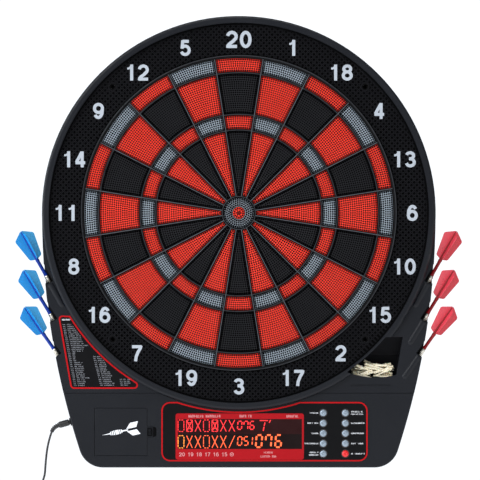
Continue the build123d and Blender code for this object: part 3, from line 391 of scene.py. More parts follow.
# ---- the floor ---------------------------------------------------------------------------------
def make_stage():
    """Round pale floor below the object."""
    data = bpy.data.meshes.new("studio")
    outline = circle(0, 0, FLOOR_R, 96)
    data.from_pydata([(x * MM, y * MM, FLOOR_Z * MM) for x, y in outline], [], [list(range(len(outline)))])
    data.materials.append(FLOOR)
    floor = bpy.data.objects.new("studio", data)
    bpy.context.scene.collection.objects.link(floor)


FLOOR_R, FLOOR_Z = 4500.0, -620.0
make_stage()


# ---- power lead --------------------------------------------------------------------------------
JACK_DEPTH = 16.0
CORD_R = 1.4
RELIEF_END = Vector((-238.41, -278.96))
RELIEF_WAY = Vector((-0.3287, -0.9444))
CORD_DROP = [(-244.3, -301.0), (-246.2, -319.5), (-247.3, -339.0)]
CORD_LOWER = [(-246.7, -407.6), (-247.6, -419.0), (-247.4, -428.0)]
COIL_X, COIL_Z, COIL_R = -247.4, -375.0, 15.6
TURN_POINTS = 14
ENTRY, EXIT = 50.0, 100.0  # where the cord joins and leaves the coil, in degrees from its top


def coil_lanes():
    """Places of the coil's turns in its bundle, as (outwards, sideways) from the bundle's centre."""
    outer = [(6.0, 40.0 * k) for k in range(1, 9)]
    inner = [(3.1, 320.0 - 60.0 * k) for k in range(6)]
    lanes = [(r * math.cos(math.radians(a)), r * math.sin(math.radians(a))) for r, a in outer + inner]
    return lanes + [(0.0, 0.0), (0.0, 0.0)]


def coil_points():
    """Turns of the coil: each changes to the next lane of the bundle as it goes round."""
    lanes = coil_lanes()
    last = (len(lanes) - 2) * 360 + EXIT
    count = round((last - ENTRY) / 360 * TURN_POINTS)
    points = []
    for i in range(count + 1):
        degrees = ENTRY + (last - ENTRY) * i / count
        lane, part = divmod(degrees / 360, 1)
        (out0, side0), (out1, side1) = lanes[int(lane)], lanes[int(lane) + 1]
        out, side = out0 + (out1 - out0) * part, side0 + (side1 - side0) * part
        angle = math.radians(degrees)
        points.append((COIL_X - (COIL_R + out) * math.sin(angle), side, COIL_Z + (COIL_R + out) * math.cos(angle)))
    return points


def cord_route():
    """Control points of the whole cord: out of the plug, down, round the coil and on to the adapter."""
    start, way = RELIEF_END, RELIEF_WAY
    route = [(start.x, 0, start.y), (start.x + 8 * way.x, 0, start.y + 8 * way.y)]
    route += [(x, 0, z) for x, z in CORD_DROP]
    route += coil_points()
    route += [(x, 0, z) for x, z in CORD_LOWER]
    return route


def make_cord():
    """The cord as one smooth spline, riding on the board in place of the CAD cord's tube and coil."""
    curve = bpy.data.curves.new("power_cord", "CURVE")
    curve.dimensions = "3D"
    spline = curve.splines.new("NURBS")
    route = cord_route()
    spline.points.add(len(route) - 1)
    for point, (x, side, z) in zip(spline.points, route):
        point.co = (x * MM, (side - JACK_DEPTH) * MM, z * MM, 1)
    spline.order_u = 3
    spline.use_endpoint_u = True
    spline.resolution_u = 4
    curve.bevel_depth = CORD_R * MM
    curve.bevel_resolution = 3
    curve.use_fill_caps = True
    curve.materials.append(CORD)
    cord = adopt(bpy.data.objects.new("power_cord", curve), "board", ("cord_tube", "cord_coil"))
    return cord


def sleeve(shape, centre, way, section, count=20, slot=0):
    """Ring round an axis in the plane of the face, from a closed section of (along, radius) points."""
    (x, z), (ux, uz) = centre, way
    loops = []
    for along, radius in section:
        loop = []
        for k in range(count):
            angle = 2 * math.pi * k / count
            across, up = radius * math.cos(angle), radius * math.sin(angle)
            loop.append((x + ux * along - uz * across, JACK_DEPTH + up, z + uz * along + ux * across))
        loops.append(shape.add(loop))
    for low, high in zip(loops, loops[1:] + loops[:1]):
        shape.band(low, high, slot)


def make_tie():
    """Ribbed rubber band that holds the coil's turns together."""
    shape = Shape()
    angle = math.radians(TIE_ANGLE)
    centre = (COIL_X - COIL_R * math.sin(angle), COIL_Z + COIL_R * math.cos(angle))
    way = (-math.cos(angle), -math.sin(angle))
    sleeve(shape, centre, way, [(-2.6, 7.7), (2.6, 7.7), (2.8, 8.0), (2.4, 8.3), (-2.4, 8.3), (-2.8, 8.0)], 32)
    for along in (-1.6, 0.0, 1.6):
        sleeve(shape, centre, way, [(along - 0.35, 8.2), (along + 0.35, 8.2), (along + 0.2, 8.6), (along - 0.2, 8.6)], 32)
    return shape.make("cord_tie", "board", [CORD], "cord_plastic", smooth=True)


def make_plug_ribs():
    """Grip rings on the plug and tapering ribs along its bent strain relief."""
    shape = Shape()
    start = Vector((RELIEF_END.x + RELIEF_R * (math.sin(END_LEAN) - math.sin(LEAN)),
                    RELIEF_END.y + RELIEF_R * (math.cos(LEAN) - math.cos(END_LEAN))))
    first = Vector((-math.cos(LEAN), -math.sin(LEAN)))
    for back in (3.0, 5.2, 7.4, 9.6):
        sleeve(shape, start - first * back, first, [(-0.55, 3.9), (0.55, 3.9), (0.35, 4.3), (-0.35, 4.3)], 24)
    for k in range(6):
        lean = LEAN + (END_LEAN - LEAN) * (k + 0.4) / 6
        place = (start.x - RELIEF_R * (math.sin(lean) - math.sin(LEAN)),
                 start.y - RELIEF_R * (math.cos(LEAN) - math.cos(lean)))
        radius = 3.3 - 0.13 * k
        sleeve(shape, place, (-math.cos(lean), -math.sin(lean)),
               [(-0.6, 2.2), (0.6, 2.2), (0.5, radius - 0.15), (0.3, radius), (-0.3, radius), (-0.5, radius - 0.15)])
    return shape.make("plug_ribs", "board", [CORD], "cord_plastic", smooth=True)


def make_adapter_details():
    """Ribbed neck of the adapter, and the grip ribs and plain label of its case."""
    neck = Shape()
    neck.revolve([(3.6, -1), (3.6, 1.2), (3.1, 1.6), (3.1, 2.6), (3.5, 2.8), (3.5, 3.8), (3.1, 4.1), (3.1, 5.1),
                  (3.4, 5.3), (3.4, 6.3), (3.1, 6.6), (3.1, 9.6), (2.4, 10.2)],
                 lambda p: (COIL_X + p[0], JACK_DEPTH - p[1], ADAPTER_TOP + p[2]), 20)
    collar = neck.make("adapter_neck", "board", [CORD], "adapter_plastic", smooth=True)
    grips = Shape()
    half = ADAPTER_WIDE / 2
    for k in range(7):
        z = ADAPTER_TOP - 15 - 3 * k
        for way in (-1, 1):
            x = COIL_X + way * half
            grips.prism([(x - 0.4, z - 0.8), (x + 0.4, z - 0.8), (x + 0.4, z + 0.8), (x - 0.4, z + 0.8)],
                        JACK_DEPTH - 8, JACK_DEPTH + 8, edge=0.3)
    left, right, low, high = COIL_X - half + 7, COIL_X + half - 7, ADAPTER_TOP - 42, ADAPTER_TOP - 14
    label = rounded([(left, low, 2), (right, low, 2), (right, high, 2), (left, high, 2)])
    front = JACK_DEPTH + ADAPTER_THICK / 2
    grips.prism(label, front - 0.1, front + 0.12, 1, edge=0.1)
    return [collar, grips.make("adapter_grips", "board", [ADAPTER, BLACK], "adapter_plastic")]


LEAN, END_LEAN = math.radians(15.81), math.radians(70.81)
RELIEF_R = 14.0
TIE_ANGLE = 215.0
ADAPTER_WIDE, ADAPTER_THICK, ADAPTER_HIGH, ADAPTER_TOP = 38.0, 26.0, 52.0, -438.0
cord = make_cord()
on_cord = [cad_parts["dc_plug"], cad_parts["adapter"], make_tie(), make_plug_ribs()]
on_cord += make_adapter_details()


# ---- target ------------------------------------------------------------------------------------
def half_angle(radius, gap):
    """Half the angle of a cell at a radius, with its sides moved in by a gap."""
    return SECTOR / 2 - math.asin(gap / radius)


def punch(shape, corners, radius, depth_at):
    """One cell of perforated plate: a quad round an eight-sided hole with walls and a floor in painted shade (slot 1),
    standing in for the shade down the hole.
    """
    centre = Vector((sum(c[0] for c in corners) / 4, sum(c[1] for c in corners) / 4))
    first = math.atan2(corners[0][1] - centre.y, corners[0][0] - centre.x)
    rim = []
    for k in range(8):
        reach, angle = radius * (1 if k % 2 else 1.22), first + k * math.pi / 4
        rim.append((centre.x + reach * math.cos(angle), centre.y + reach * math.sin(angle)))
    level = depth_at(*centre)
    outer = shape.add([(x, depth_at(x, z), z) for x, z in corners])
    edge = shape.add([(x, level, z) for x, z in rim])
    deep = shape.add([(x, level - HOLE_DEEP, z) for x, z in rim])
    for k in range(4):
        shape.face([outer[k], outer[(k + 1) % 4], edge[(2 * k + 2) % 8], edge[2 * k + 1], edge[2 * k]])
    # painted shade: the hole's walls and floor take the dark slot
    shape.band(deep, edge, 1)
    shape.face(deep, 1)


def arc(radius, start, end, count):
    """Points on an arc round the bull between two angles from the top."""
    return [polar(radius, start + (end - start) * i / count) for i in range(count + 1)]


def sector_loop(low, high, gap, count, rise):
    """Anticlockwise outline of a cell round the top: inner arc to the right, outer arc back to the left."""
    inner, outer = half_angle(low, gap), half_angle(high, gap)
    side = []
    for i in range(1, rise):
        radius = low + (high - low) * i / rise
        side.append((radius, inner + (outer - inner) * i / rise))
    right = [polar(radius, half_angle(radius, gap)) for radius, _ in side]
    left = [(-x, z) for x, z in right[::-1]]
    return arc(low, -inner, inner, count) + right + arc(high, outer, -outer, count) + left


def make_segment(low, high):
    """Perforated target segment round the top, between two of the spider's rings."""
    low, high = low + SEGMENT_GAP, high - SEGMENT_GAP
    shape = Shape()

    def depth_at(x, z):
        radius, angle = math.hypot(x, z), abs(math.atan2(x, z))
        reach = min(radius - low, high - radius, radius * math.sin(half_angle(radius, SEGMENT_GAP) - angle))
        near = 1 - min(max(reach, 0) / CROWN_WIDTH, 1)
        return SEGMENT_FRONT - CROWN * near * near

    gap = SEGMENT_GAP + BORDER
    rows = max(1, round((high - low - 2 * BORDER) / HOLE_PITCH))
    radii = [low + BORDER + (high - low - 2 * BORDER) * i / rows for i in range(rows + 1)]
    for inner, outer in zip(radii, radii[1:]):
        middle = (inner + outer) / 2
        wide = 2 * middle * half_angle(middle, gap)
        columns = max(1, round(wide / HOLE_PITCH))
        a, b = half_angle(inner, gap), half_angle(outer, gap)
        size = min(HOLE_R, 0.425 * wide / columns)
        for k in range(columns):
            f, g = 2 * k / columns - 1, 2 * (k + 1) / columns - 1
            corners = [polar(inner, a * f), polar(inner, a * g), polar(outer, b * g), polar(outer, b * f)]
            punch(shape, corners, size, depth_at)
    count = max(4, round(high * SECTOR / 2.6))
    rise = max(2, round((high - low) / 6))
    outline = sector_loop(low, high, SEGMENT_GAP, count, rise)
    inside = sector_loop(low + BORDER, high - BORDER, gap, count, rise)
    rim = shape.add([(x, SEGMENT_FRONT - CROWN, z) for x, z in outline])
    seam = shape.add([(x, depth_at(x, z), z) for x, z in inside])
    back = shape.add([(x, SEGMENT_BACK, z) for x, z in outline])
    # painted shade: the steep border, the sides and the back take the dark slot, as the shade at the segment's edge
    shape.band(rim, seam, 1)
    shape.band(back, rim, 1)
    shape.face(back[::-1], 1)
    return shape


def make_round_plate(low, high):
    """Perforated ring or disc round the bull."""
    shape = Shape()

    def depth_at(x, z):
        radius = math.hypot(x, z)
        near = 1 - min(max(min(radius - low if low else radius + 9, high - radius), 0) / CROWN_WIDTH, 1)
        return SEGMENT_FRONT - CROWN * near * near

    start = low + 0.6 if low else 1.3
    rows = round((high - 0.6 - start) / HOLE_PITCH)
    radii = [start + (high - 0.6 - start) * i / rows for i in range(rows + 1)]
    for inner, outer in zip(radii, radii[1:]):
        columns = round(math.pi * (inner + outer) / HOLE_PITCH)
        for k in range(columns):
            f, g = 2 * math.pi * k / columns, 2 * math.pi * (k + 1) / columns
            punch(shape, [polar(inner, f), polar(inner, g), polar(outer, g), polar(outer, f)], HOLE_R, depth_at)
    count = 48
    if not low:
        hub = [polar(start, -2 * math.pi * k / 8) for k in range(8)]
        hole = [polar(HOLE_R, -2 * math.pi * k / 8) for k in range(8)]
        a = shape.add([(x, SEGMENT_FRONT, z) for x, z in hub])
        b = shape.add([(x, SEGMENT_FRONT, z) for x, z in hole])
        c = shape.add([(x, SEGMENT_FRONT - HOLE_DEEP, z) for x, z in hole])
        shape.band(a, b)
        shape.band(b, c)
        shape.face(c, 1)
    loops = []
    for radius in (low + 0.6, low, high, high - 0.6) if low else (high, high - 0.6):
        ring = [polar(radius, -2 * math.pi * k / count) for k in range(count)]
        loops.append((shape.add([(x, depth_at(x, z), z) for x, z in ring]), ring))
    # painted shade: borders, sides and back take the dark slot, as the shade at the plate's edges
    if low:
        shape.band(loops[0][0], loops[1][0])
        foot = shape.add([(x, SEGMENT_BACK, z) for x, z in loops[1][1]])
        shape.band(loops[1][0], foot, 1)
    rim, seam = loops[-2], loops[-1]
    shape.band(rim[0], seam[0], 1)
    back = shape.add([(x, SEGMENT_BACK, z) for x, z in rim[1]])
    shape.band(back, rim[0], 1)
    if low:
        shape.band(foot, back, 1)
    else:
        shape.face(back[::-1], 1)
    return shape


def make_target():
    """All segments in their colours, and the two bulls."""
    rings = [
        ("inner_single", BULL_R, TRIPLE_IN_R), ("triple", TRIPLE_IN_R, TRIPLE_OUT_R),
        ("outer_single", TRIPLE_OUT_R, DOUBLE_IN_R), ("double", DOUBLE_IN_R, DOUBLE_OUT_R),
    ]
    for kind, low, high in rings:
        shape = make_segment(low, high)
        for step, number in enumerate(NUMBERS):
            single, even = "single" in kind, step % 2 == 0
            colour, slot_name = (DARK, "black_segment") if single and even else (
                (RED, "red_segment") if single or even else (GREY, "grey_segment"))
            node = f"segments_{number:02d}"
            # painted shade in holes and borders: dark red in red segments, near black in the others
            inside = PAINTED_SHADE_RED if colour is RED else PAINTED_SHADE
            shape.make(f"{node}_{kind}", node, [colour, inside], slot_name, step=step, replaces=[node])
    bull = make_round_plate(INNER_BULL_R + 0.4, BULL_R - SEGMENT_GAP)
    bull.make("single_bull", "outer_bull", [BULL_GREY, PAINTED_SHADE], "grey_segment", replaces=["outer_bull"])
    eye = make_round_plate(0, INNER_BULL_R)
    eye.make("double_bull", "inner_bull", [RED, PAINTED_SHADE_RED], "red_segment", replaces=["inner_bull"])


BULL_GREY = plastic("bull_grey", (124, 132, 140), 0.36, 0.06, 0.02, 0.1, Specular_IOR_Level=0.25)
make_target()


# ---- spider ------------------------------------------------------------------------------------
def make_spider():
    """Web of rounded rings and ribs round the segments, and its broader outer rim. The thin rings take the darker copy
    of the spider plastic, as painted shade.
    """
    shape = Shape()
    half, nose = WEB * 0.4, 0.4

    def section(width):
        return [(-width, WEB_BACK), (-width, WEB_FRONT - nose), (-width + nose * 0.4, WEB_FRONT - nose * 0.2),
                (-width + nose, WEB_FRONT), (width - nose, WEB_FRONT), (width - nose * 0.4, WEB_FRONT - nose * 0.2),
                (width, WEB_FRONT - nose), (width, WEB_BACK)]

    broad = (SPIDER_OUT_R - DOUBLE_OUT_R + half) / 2
    # slot 2 gives the thin rings their painted shade
    rings = [(radius, half, 0, 2) for radius in (BULL_R, TRIPLE_IN_R, TRIPLE_OUT_R, DOUBLE_IN_R)]
    rings += [(SPIDER_OUT_R - broad, broad, 2.4, 1), (SPIDER_OUT_R - half, half, 0, 2)]
    for middle, width, sunk, slot in rings:
        count = max(48, 8 * round(middle / 6))
        loops = []
        for across, depth in section(width):
            loop = [polar(middle + across, -2 * math.pi * k / count) for k in range(count)]
            loops.append(shape.add([(x, depth - (sunk if depth > WEB_BACK else 0), z) for x, z in loop]))
        for low, high in zip(loops, loops[1:] + loops[:1]):
            shape.band(low, high, slot)
    for step in range(len(NUMBERS)):
        rows = []
        for radius in (BULL_R + half * 0.9, DOUBLE_OUT_R - half * 0.9):
            row = []
            for across, depth in section(half):
                x, z = turn(across, radius, step + 0.5)
                row.append((x, depth, z))
            rows.append(shape.add(row))
        shape.band(rows[0], rows[1])
        shape.face(rows[0][::-1])
        shape.face(rows[1])
    shape.make("spider_web", "board", [SPIDER, BLACK, SPIDER_RING_SHADED], "spider_plastic", smooth=True, replaces=["spider"])


make_spider()


# ---- catch ring --------------------------------------------------------------------------------
def spans(distance):
    """Stretches of a straight ridge, at a distance from the bull, that lie on the catch ring."""
    outer = math.sqrt(max((RING_OUT_R + 0.8) ** 2 - distance**2, 0))
    pieces = [(-outer, outer)]
    holes = [(0.0, 0.0, RING_IN_R + 0.2)]
    reach = WALL_SCREW * math.sqrt(2)
    for along, across in ((reach, 0.0), (-reach, 0.0), (0.0, reach), (0.0, -reach)):
        holes.append((along, across, 5.6))
    for along, across, radius in holes:
        near = abs(distance - across)
        if near >= radius:
            continue
        cut = math.sqrt(radius**2 - near**2)
        kept = []
        for start, end in pieces:
            kept += [(start, min(end, along - cut)), (max(start, along + cut), end)]
        pieces = [(start, end) for start, end in kept if end - start > 0.8]
    return pieces


def make_lattice():
    """Diagonal ridges that cross on the catch ring's face and leave square recesses; the ridges take the lighter copy
    of the ring's plastic, as painted light.
    """
    shape = Shape()
    lines = int(RING_OUT_R / LATTICE_PITCH)
    base, top = LATTICE_WIDTH / 2, LATTICE_WIDTH / 2 - 0.3
    for way in (1, -1):
        for index in range(-lines, lines + 1):
            distance = (index + 0.5) * LATTICE_PITCH
            if abs(distance) >= RING_OUT_R:
                continue
            for start, end in spans(distance):
                rows = []
                for along in (start, end):
                    row = []
                    for across, depth in ((-base, RING_FACE), (-top, RING_FACE + LATTICE_HIGH),
                                          (top, RING_FACE + LATTICE_HIGH), (base, RING_FACE)):
                        u, v = along, distance + across
                        row.append(((u - way * v) / math.sqrt(2), depth, (way * u + v) / math.sqrt(2)))
                    rows.append(shape.add(row))
                shape.band(rows[0], rows[1])
                shape.face(rows[0][::-1])
                shape.face(rows[1])
    for x, z in ((-1, 1), (1, 1), (1, -1), (-1, -1)):
        loops = []
        for radius, high in ((4.3, 0.0), (4.3, 1.1), (5.4, 1.1), (5.9, 0.0)):
            ring = circle(x * WALL_SCREW, z * WALL_SCREW, radius)
            loops.append(shape.add([(across, RING_FACE + high, up) for across, up in ring]))
        for low, high in zip(loops, loops[1:]):
            shape.band(low, high)
    shape.make("catch_ring_lattice", "board", [RIDGE_PAINTED_LIGHT], "catch_ring_plastic")


def bow(centre_x, centre_z, half_x, half_z, start, end):
    """Arc of an oval between two angles in degrees, anticlockwise from the right."""
    count = max(2, round(abs(end - start) / 15))
    angles = [math.radians(start + (end - start) * i / count) for i in range(count + 1)]
    return [(centre_x + half_x * math.cos(a), centre_z + half_z * math.sin(a)) for a in angles]


# Centre lines of the figures in a box one wide and one high, one row of points for each stroke.
FIGURES = {
    0: [bow(0.5, 0.5, 0.5, 0.5, 0, 360)],
    1: [[(0.66, -0.11), (0.66, 1.11)], [(0.1, 0.8), (0.3, 0.81), (0.46, 0.86), (0.56, 0.95), (0.62, 1.08)]],
    2: [bow(0.5, 0.71, 0.5, 0.29, 172, -30) + [(0.62, 0.36), (0.2, 0.17), (0.04, 0.06), (0.0, -0.1)],
        [(-0.1, 0.0), (1.1, 0.0)]],
    3: [bow(0.48, 0.775, 0.44, 0.225, 165, -90) + [(0.34, 0.55)],
        [(0.34, 0.54)] + bow(0.5, 0.27, 0.5, 0.27, 90, -165)],
    4: [[(0.74, -0.11), (0.74, 1.1)], [(0.7, 1.04), (0.02, 0.28)], [(-0.1, 0.24), (1.12, 0.24)]],
    5: [[(0.16, 1.0), (0.96, 1.0)], [(0.2, 1.08), (0.09, 0.44)], bow(0.5, 0.32, 0.5, 0.32, 150, -160)],
    6: [bow(0.5, 0.31, 0.5, 0.31, 0, 360), bow(0.52, 0.62, 0.44, 0.38, 28, 130) + [(0.04, 0.68), (0.0, 0.32)]],
    7: [[(-0.1, 1.0), (1.1, 1.0)], [(1.02, 1.08), (0.94, 0.88), (0.66, 0.6), (0.42, 0.24), (0.34, -0.11)]],
    8: [bow(0.5, 0.775, 0.43, 0.225, 0, 360), bow(0.5, 0.275, 0.5, 0.275, 0, 360)],
    9: [bow(0.5, 0.69, 0.5, 0.31, 0, 360), bow(0.48, 0.38, 0.44, 0.38, 208, 310) + [(0.96, 0.32), (1.0, 0.68)]],
}


def ribbon(shape, line, width, back, front, slot=0):
    """Flat band of constant width along a row of points in X and Z."""
    closed = math.dist(line[0], line[-1]) < 1e-6
    if closed:
        line = line[:-1]
    rows = []
    for i, (x, z) in enumerate(line):
        before = line[i - 1] if closed or i else line[0]
        after = line[(i + 1) % len(line)] if closed or i < len(line) - 1 else line[-1]
        first, second = Vector((x - before[0], z - before[1])), Vector((after[0] - x, after[1] - z))
        first, second = (first if first.length else second).normalized(), (second if second.length else first).normalized()
        normal = Vector((first.y + second.y, -first.x - second.x))
        normal *= width / max(normal.length_squared, 1.1)
        rows.append(shape.add([(x - normal.x, back, z - normal.y), (x - normal.x, front, z - normal.y),
                               (x + normal.x, front, z + normal.y), (x + normal.x, back, z + normal.y)]))
    for low, high in zip(rows, rows[1:] + (rows[:1] if closed else [])):
        shape.band(low, high, slot)
    if not closed:
        shape.face(rows[0][::-1], slot)
        shape.face(rows[-1], slot)


def add_number(shape, number, x, z, high, stroke, back, front, slot=0):
    """A number centred on a point, with figures of a given height and stroke width."""
    wide = 0.68 * high
    text = str(number)
    for place, figure in enumerate(text):
        left = x + (place - (len(text) - 1) / 2) * wide * 1.17 - wide / 2 + stroke / 2
        for index, points in enumerate(FIGURES[int(figure)]):
            thin = 0.66 if figure == "1" and index == 1 else 1
            line = [(left + u * (wide - stroke), z - high / 2 + stroke / 2 + v * (high - stroke)) for u, v in points]
            ribbon(shape, line, stroke * thin, back, front - 0.03 * index, slot)


def make_numerals():
    """The twenty numbers, upright on the catch ring."""
    shape = Shape()
    for step, number in enumerate(NUMBERS):
        x, z = polar(NUMBER_R, step * SECTOR)
        high = 22.0 if number == 20 else 20.6
        add_number(shape, number, x, z, high, 0.19 * high, RING_FACE, RING_FACE + LATTICE_HIGH + 0.15)
    shape.make("numerals", "board", [NUMERAL], "catch_ring_plastic")


make_lattice()
make_numerals()


# ---- darts -------------------------------------------------------------------------------------
def dart_place(side, seat):
    """Turns (across, back, along) points on a dart's axes into the frame."""
    x, z, degrees, depth = seat
    across, up = math.sin(math.radians(degrees)), math.cos(math.radians(degrees))
    return lambda p: (side * x + up * p[0] + side * across * p[2], depth - p[1], z - side * across * p[0] + up * p[2])


def make_dart(name, side, seat, flight_shaded_and_lit, stem_colour, slot_name):
    """Soft-tip dart: grooved metal barrel, plastic tip and stem, and a flight of four vanes, two of them in a darker
    and two in a lighter copy of one colour, as painted shade and light.
    """
    place = dart_place(side, seat)
    metal = Shape()
    profile = [(1.6, -44), (2.3, -42.6), (3.1, -36)]
    along = -34.5
    while along < -5:
        profile += [(3.1, along - 0.5), (BARREL_R, along - 0.25), (BARREL_R, along + 0.35), (2.85, along + 0.6)]
        along += 1.7
    profile += [(3.1, -3.6), (3.15, -1.2), (2.5, 0)]
    metal.revolve(profile, place, 28)
    metal.make(f"{name}_barrel", name, [NICKEL], "screw_steel", smooth=True, replaces=[name])
    tip = Shape()
    tip.revolve([(0.35, -62), (0.6, -60.5), (0.8, -55), (1.3, -45.5), (1.3, -44)], place, 16)
    tip.make(f"{name}_tip", name, [stem_colour], slot_name, smooth=True)
    stem = Shape()
    stem.revolve([(2.1, 0), (2.5, 0.5), (2.5, 1.8), (2.3, 2.8), (2.2, 4.5), (2.2, 12), (2.25, 20.5), (2.5, 21.5),
                  (2.5, 23.2), (2.1, 24.6), (2.0, 36), (1.7, 50), (1.2, 64)], place, 20)
    stem.make(f"{name}_stem", name, [stem_colour], slot_name, smooth=True)
    flight = Shape()
    edge = rounded([(1.0, 23.9, 0), (8.6, 26.8, 3.2), (13.9, 56.6, 3.6), (1.0, 65.3, 0)])
    for quarter in range(4):
        angle = math.radians(DART_ROLL + 90 * quarter)
        way = (math.cos(angle), math.sin(angle))

        def vane(p, way=way):
            return place((way[0] * p[0] + way[1] * p[1], way[1] * p[0] - way[0] * p[1], p[2]))

        # painted shade and light: one half of the flight takes the darker copy, the other the lighter, swapped on the
        # left
        flight.prism(edge, -0.2, 0.2, (quarter // 2 + (side < 0)) % 2, place=vane)
    flight.make(f"{name}_flight", name, flight_shaded_and_lit, slot_name)


def make_darts():
    """Six darts in their holders, blue on the left and red on the right."""
    for index, seat in enumerate(DART_SEATS):
        make_dart(f"dart_left_{index + 1}", -1, seat, BLUE_FLIGHT_SHADED_AND_LIT, BLUE_STEM, "dart_blue")
        make_dart(f"dart_right_{index + 1}", 1, seat, RED_FLIGHT_SHADED_AND_LIT, RED_STEM, "dart_red")


DART_SEATS = [(245.2, -80.0, 29.5, 18.8), (240.1, -128.3, 31.5, 20.0), (235.3, -173.0, 35.0, 21.2)]
DART_ROLL = 16.0
BARREL_R = 3.25
# Painted shade and light: each flight colour as a darker and a lighter copy, in place of the shading across the vanes.
BLUE_FLIGHT_SHADED_AND_LIT = [plastic(f"flight_blue_painted_shading_{kind}", colour, 0.3, 0.04, 0.02, Transmission_Weight=0.2)
               for kind, colour in (("deep", (26, 138, 206)), ("light", (64, 168, 224)))]
RED_FLIGHT_SHADED_AND_LIT = [plastic(f"flight_red_painted_shading_{kind}", colour, 0.3, 0.04, 0.02, Transmission_Weight=0.2)
              for kind, colour in (("deep", (206, 40, 56)), ("light", (224, 70, 86)))]
BLUE_STEM = plastic("stem_blue", (6, 44, 132), 0.35, 0.08, 0.01, Specular_IOR_Level=0.25)
RED_STEM = plastic("stem_red", (128, 6, 14), 0.35, 0.08, 0.01, Specular_IOR_Level=0.25)
make_darts()


# ---- spare tips --------------------------------------------------------------------------------
def make_spare_tips():
    """Heap of soft tips lying every way in the bin, each with a thread, a shoulder and a long point."""
    chance = random.Random(7)
    heap = Shape()
    profile = [(1.3, 0)]
    for turn_index in range(5):
        along = 0.4 + turn_index * 1.05
        profile += [(1.9, along + 0.25), (1.9, along + 0.5), (1.45, along + 0.85)]
    profile += [(1.5, 5.9), (2.4, 6.2), (2.4, 7.0), (1.7, 8.2), (1.15, 15), (0.85, 22), (0.6, 25.4), (0.25, 26)]
    for layer, depth in enumerate(TIP_LAYERS):
        for row, centres in enumerate(TIP_ROWS):
            for x in centres:
                lean = math.radians(chance.uniform(-26, 26) if row < 3 else chance.uniform(-30, 24))
                if chance.random() < 0.5:
                    lean += math.pi
                swing = math.radians(chance.uniform(-9, 9))
                spin = chance.uniform(0, 1)
                high = BIN_FLOOR + 4.0 + row * 4.4 + chance.uniform(-1.2, 0.8)
                middle = (x + chance.uniform(-1.5, 1.5), depth + chance.uniform(-0.8, 0.8), high)
                axis = Vector((math.cos(lean) * math.cos(swing), math.sin(swing), math.sin(lean) * math.cos(swing)))
                side = axis.cross(Vector((0, 1, 0))).normalized()
                third = side.cross(axis)

                def place(p, middle=middle, axis=axis, side=side, third=third, spin=spin):
                    c, s = math.cos(spin), math.sin(spin)
                    point = axis * (p[2] - 13) + side * (c * p[0] - s * p[1]) + third * (s * p[0] + c * p[1])
                    return (middle[0] + point.x, middle[1] + point.y, middle[2] + point.z)

                heap.revolve([(r, a) for r, a in profile][::-1], place, 10)
    heap.make("spare_tip_heap", "board", [CREAM], "cream_plastic", smooth=True, replaces=["spare_tips"])


def make_bin_liner():
    """Dark sheets on the chute's slope and on the back wall of the bin, painted shade that darkens the inside of the
    bin.
    """
    shape = Shape()
    for stops in (((BIN_TOP, 21.0), (BIN_STEP, 12.0)), ((BIN_STEP, 8.0), (BIN_FLOOR, 8.0))):
        (high, first), (low, last) = stops
        rows = []
        for k in range(9):
            z = high + (low - high) * k / 8
            z += 0.2 if k == 8 else -0.2 if k == 0 else 0
            depth = first + (last - first) * k / 8
            left = math.sqrt(RIM_LIP_R**2 - z * z) + 0.2
            right = BIN_RIGHT[0] + (BIN_RIGHT[1] - BIN_RIGHT[0]) * (BIN_TOP - z) / (BIN_TOP - BIN_FLOOR) - 0.2
            rows.append(shape.add([(left, depth - 0.3, z), (left, depth + 0.15, z),
                                   (right, depth + 0.15, z), (right, depth - 0.3, z)]))
        for upper, lower in zip(rows, rows[1:]):
            shape.band(upper, lower)
        shape.face(rows[0][::-1])
        shape.face(rows[-1])
    shape.make("bin_shade_sheets", "board", [BIN_SHADE], "charcoal_plastic")


BIN_TOP, BIN_STEP = -157.6, -180.0
BIN_RIGHT = (208.3, 198.2)
RIM_LIP_R = 244.0
# Painted shade: near black for the sheets inside the bin.
BIN_SHADE = plastic("bin_painted_shade", (12, 12, 15), 0.5, 0.1, 0.02, 0.2, Specular_IOR_Level=0.05)
BIN_FLOOR = -216.0
TIP_LAYERS = [11.9, 17.4, 23.0]
TIP_ROWS = [(157, 183), (156, 183.5), (157, 170, 184), (160, 172, 185), (172, 181)]
make_spare_tips()
make_bin_liner()


# ---- console panel -----------------------------------------------------------------------------
def add_greek(shape, left, right, z, high, back, seed, slot=0):
    """Row of small marks as wide as a word or two, in place of lettering."""
    chance = random.Random(seed)
    pitch = 0.72 * high
    count = max(2, round((right - left) / pitch))
    pitch = (right - left) / count
    front = back + 0.05
    for k in range(count):
        if 0 < k < count - 1 and chance.random() < 0.1:
            continue
        x = left + (k + 0.5) * pitch
        width = 0.2 * high
        shape.stroke((x - 0.22 * pitch, z - high / 2), (x - 0.22 * pitch, z + high / 2), width, back, front, slot)
        level = chance.choice((-0.4, 0.0, 0.4))
        shape.stroke((x - 0.3 * pitch, z + level * high), (x + 0.36 * pitch, z + level * high), width,
                     back, front - 0.01, slot)
        if chance.random() < 0.6:
            shape.stroke((x + 0.26 * pitch, z - high / 2), (x + 0.26 * pitch, z + high * 0.35), width,
                         back, front - 0.02, slot)


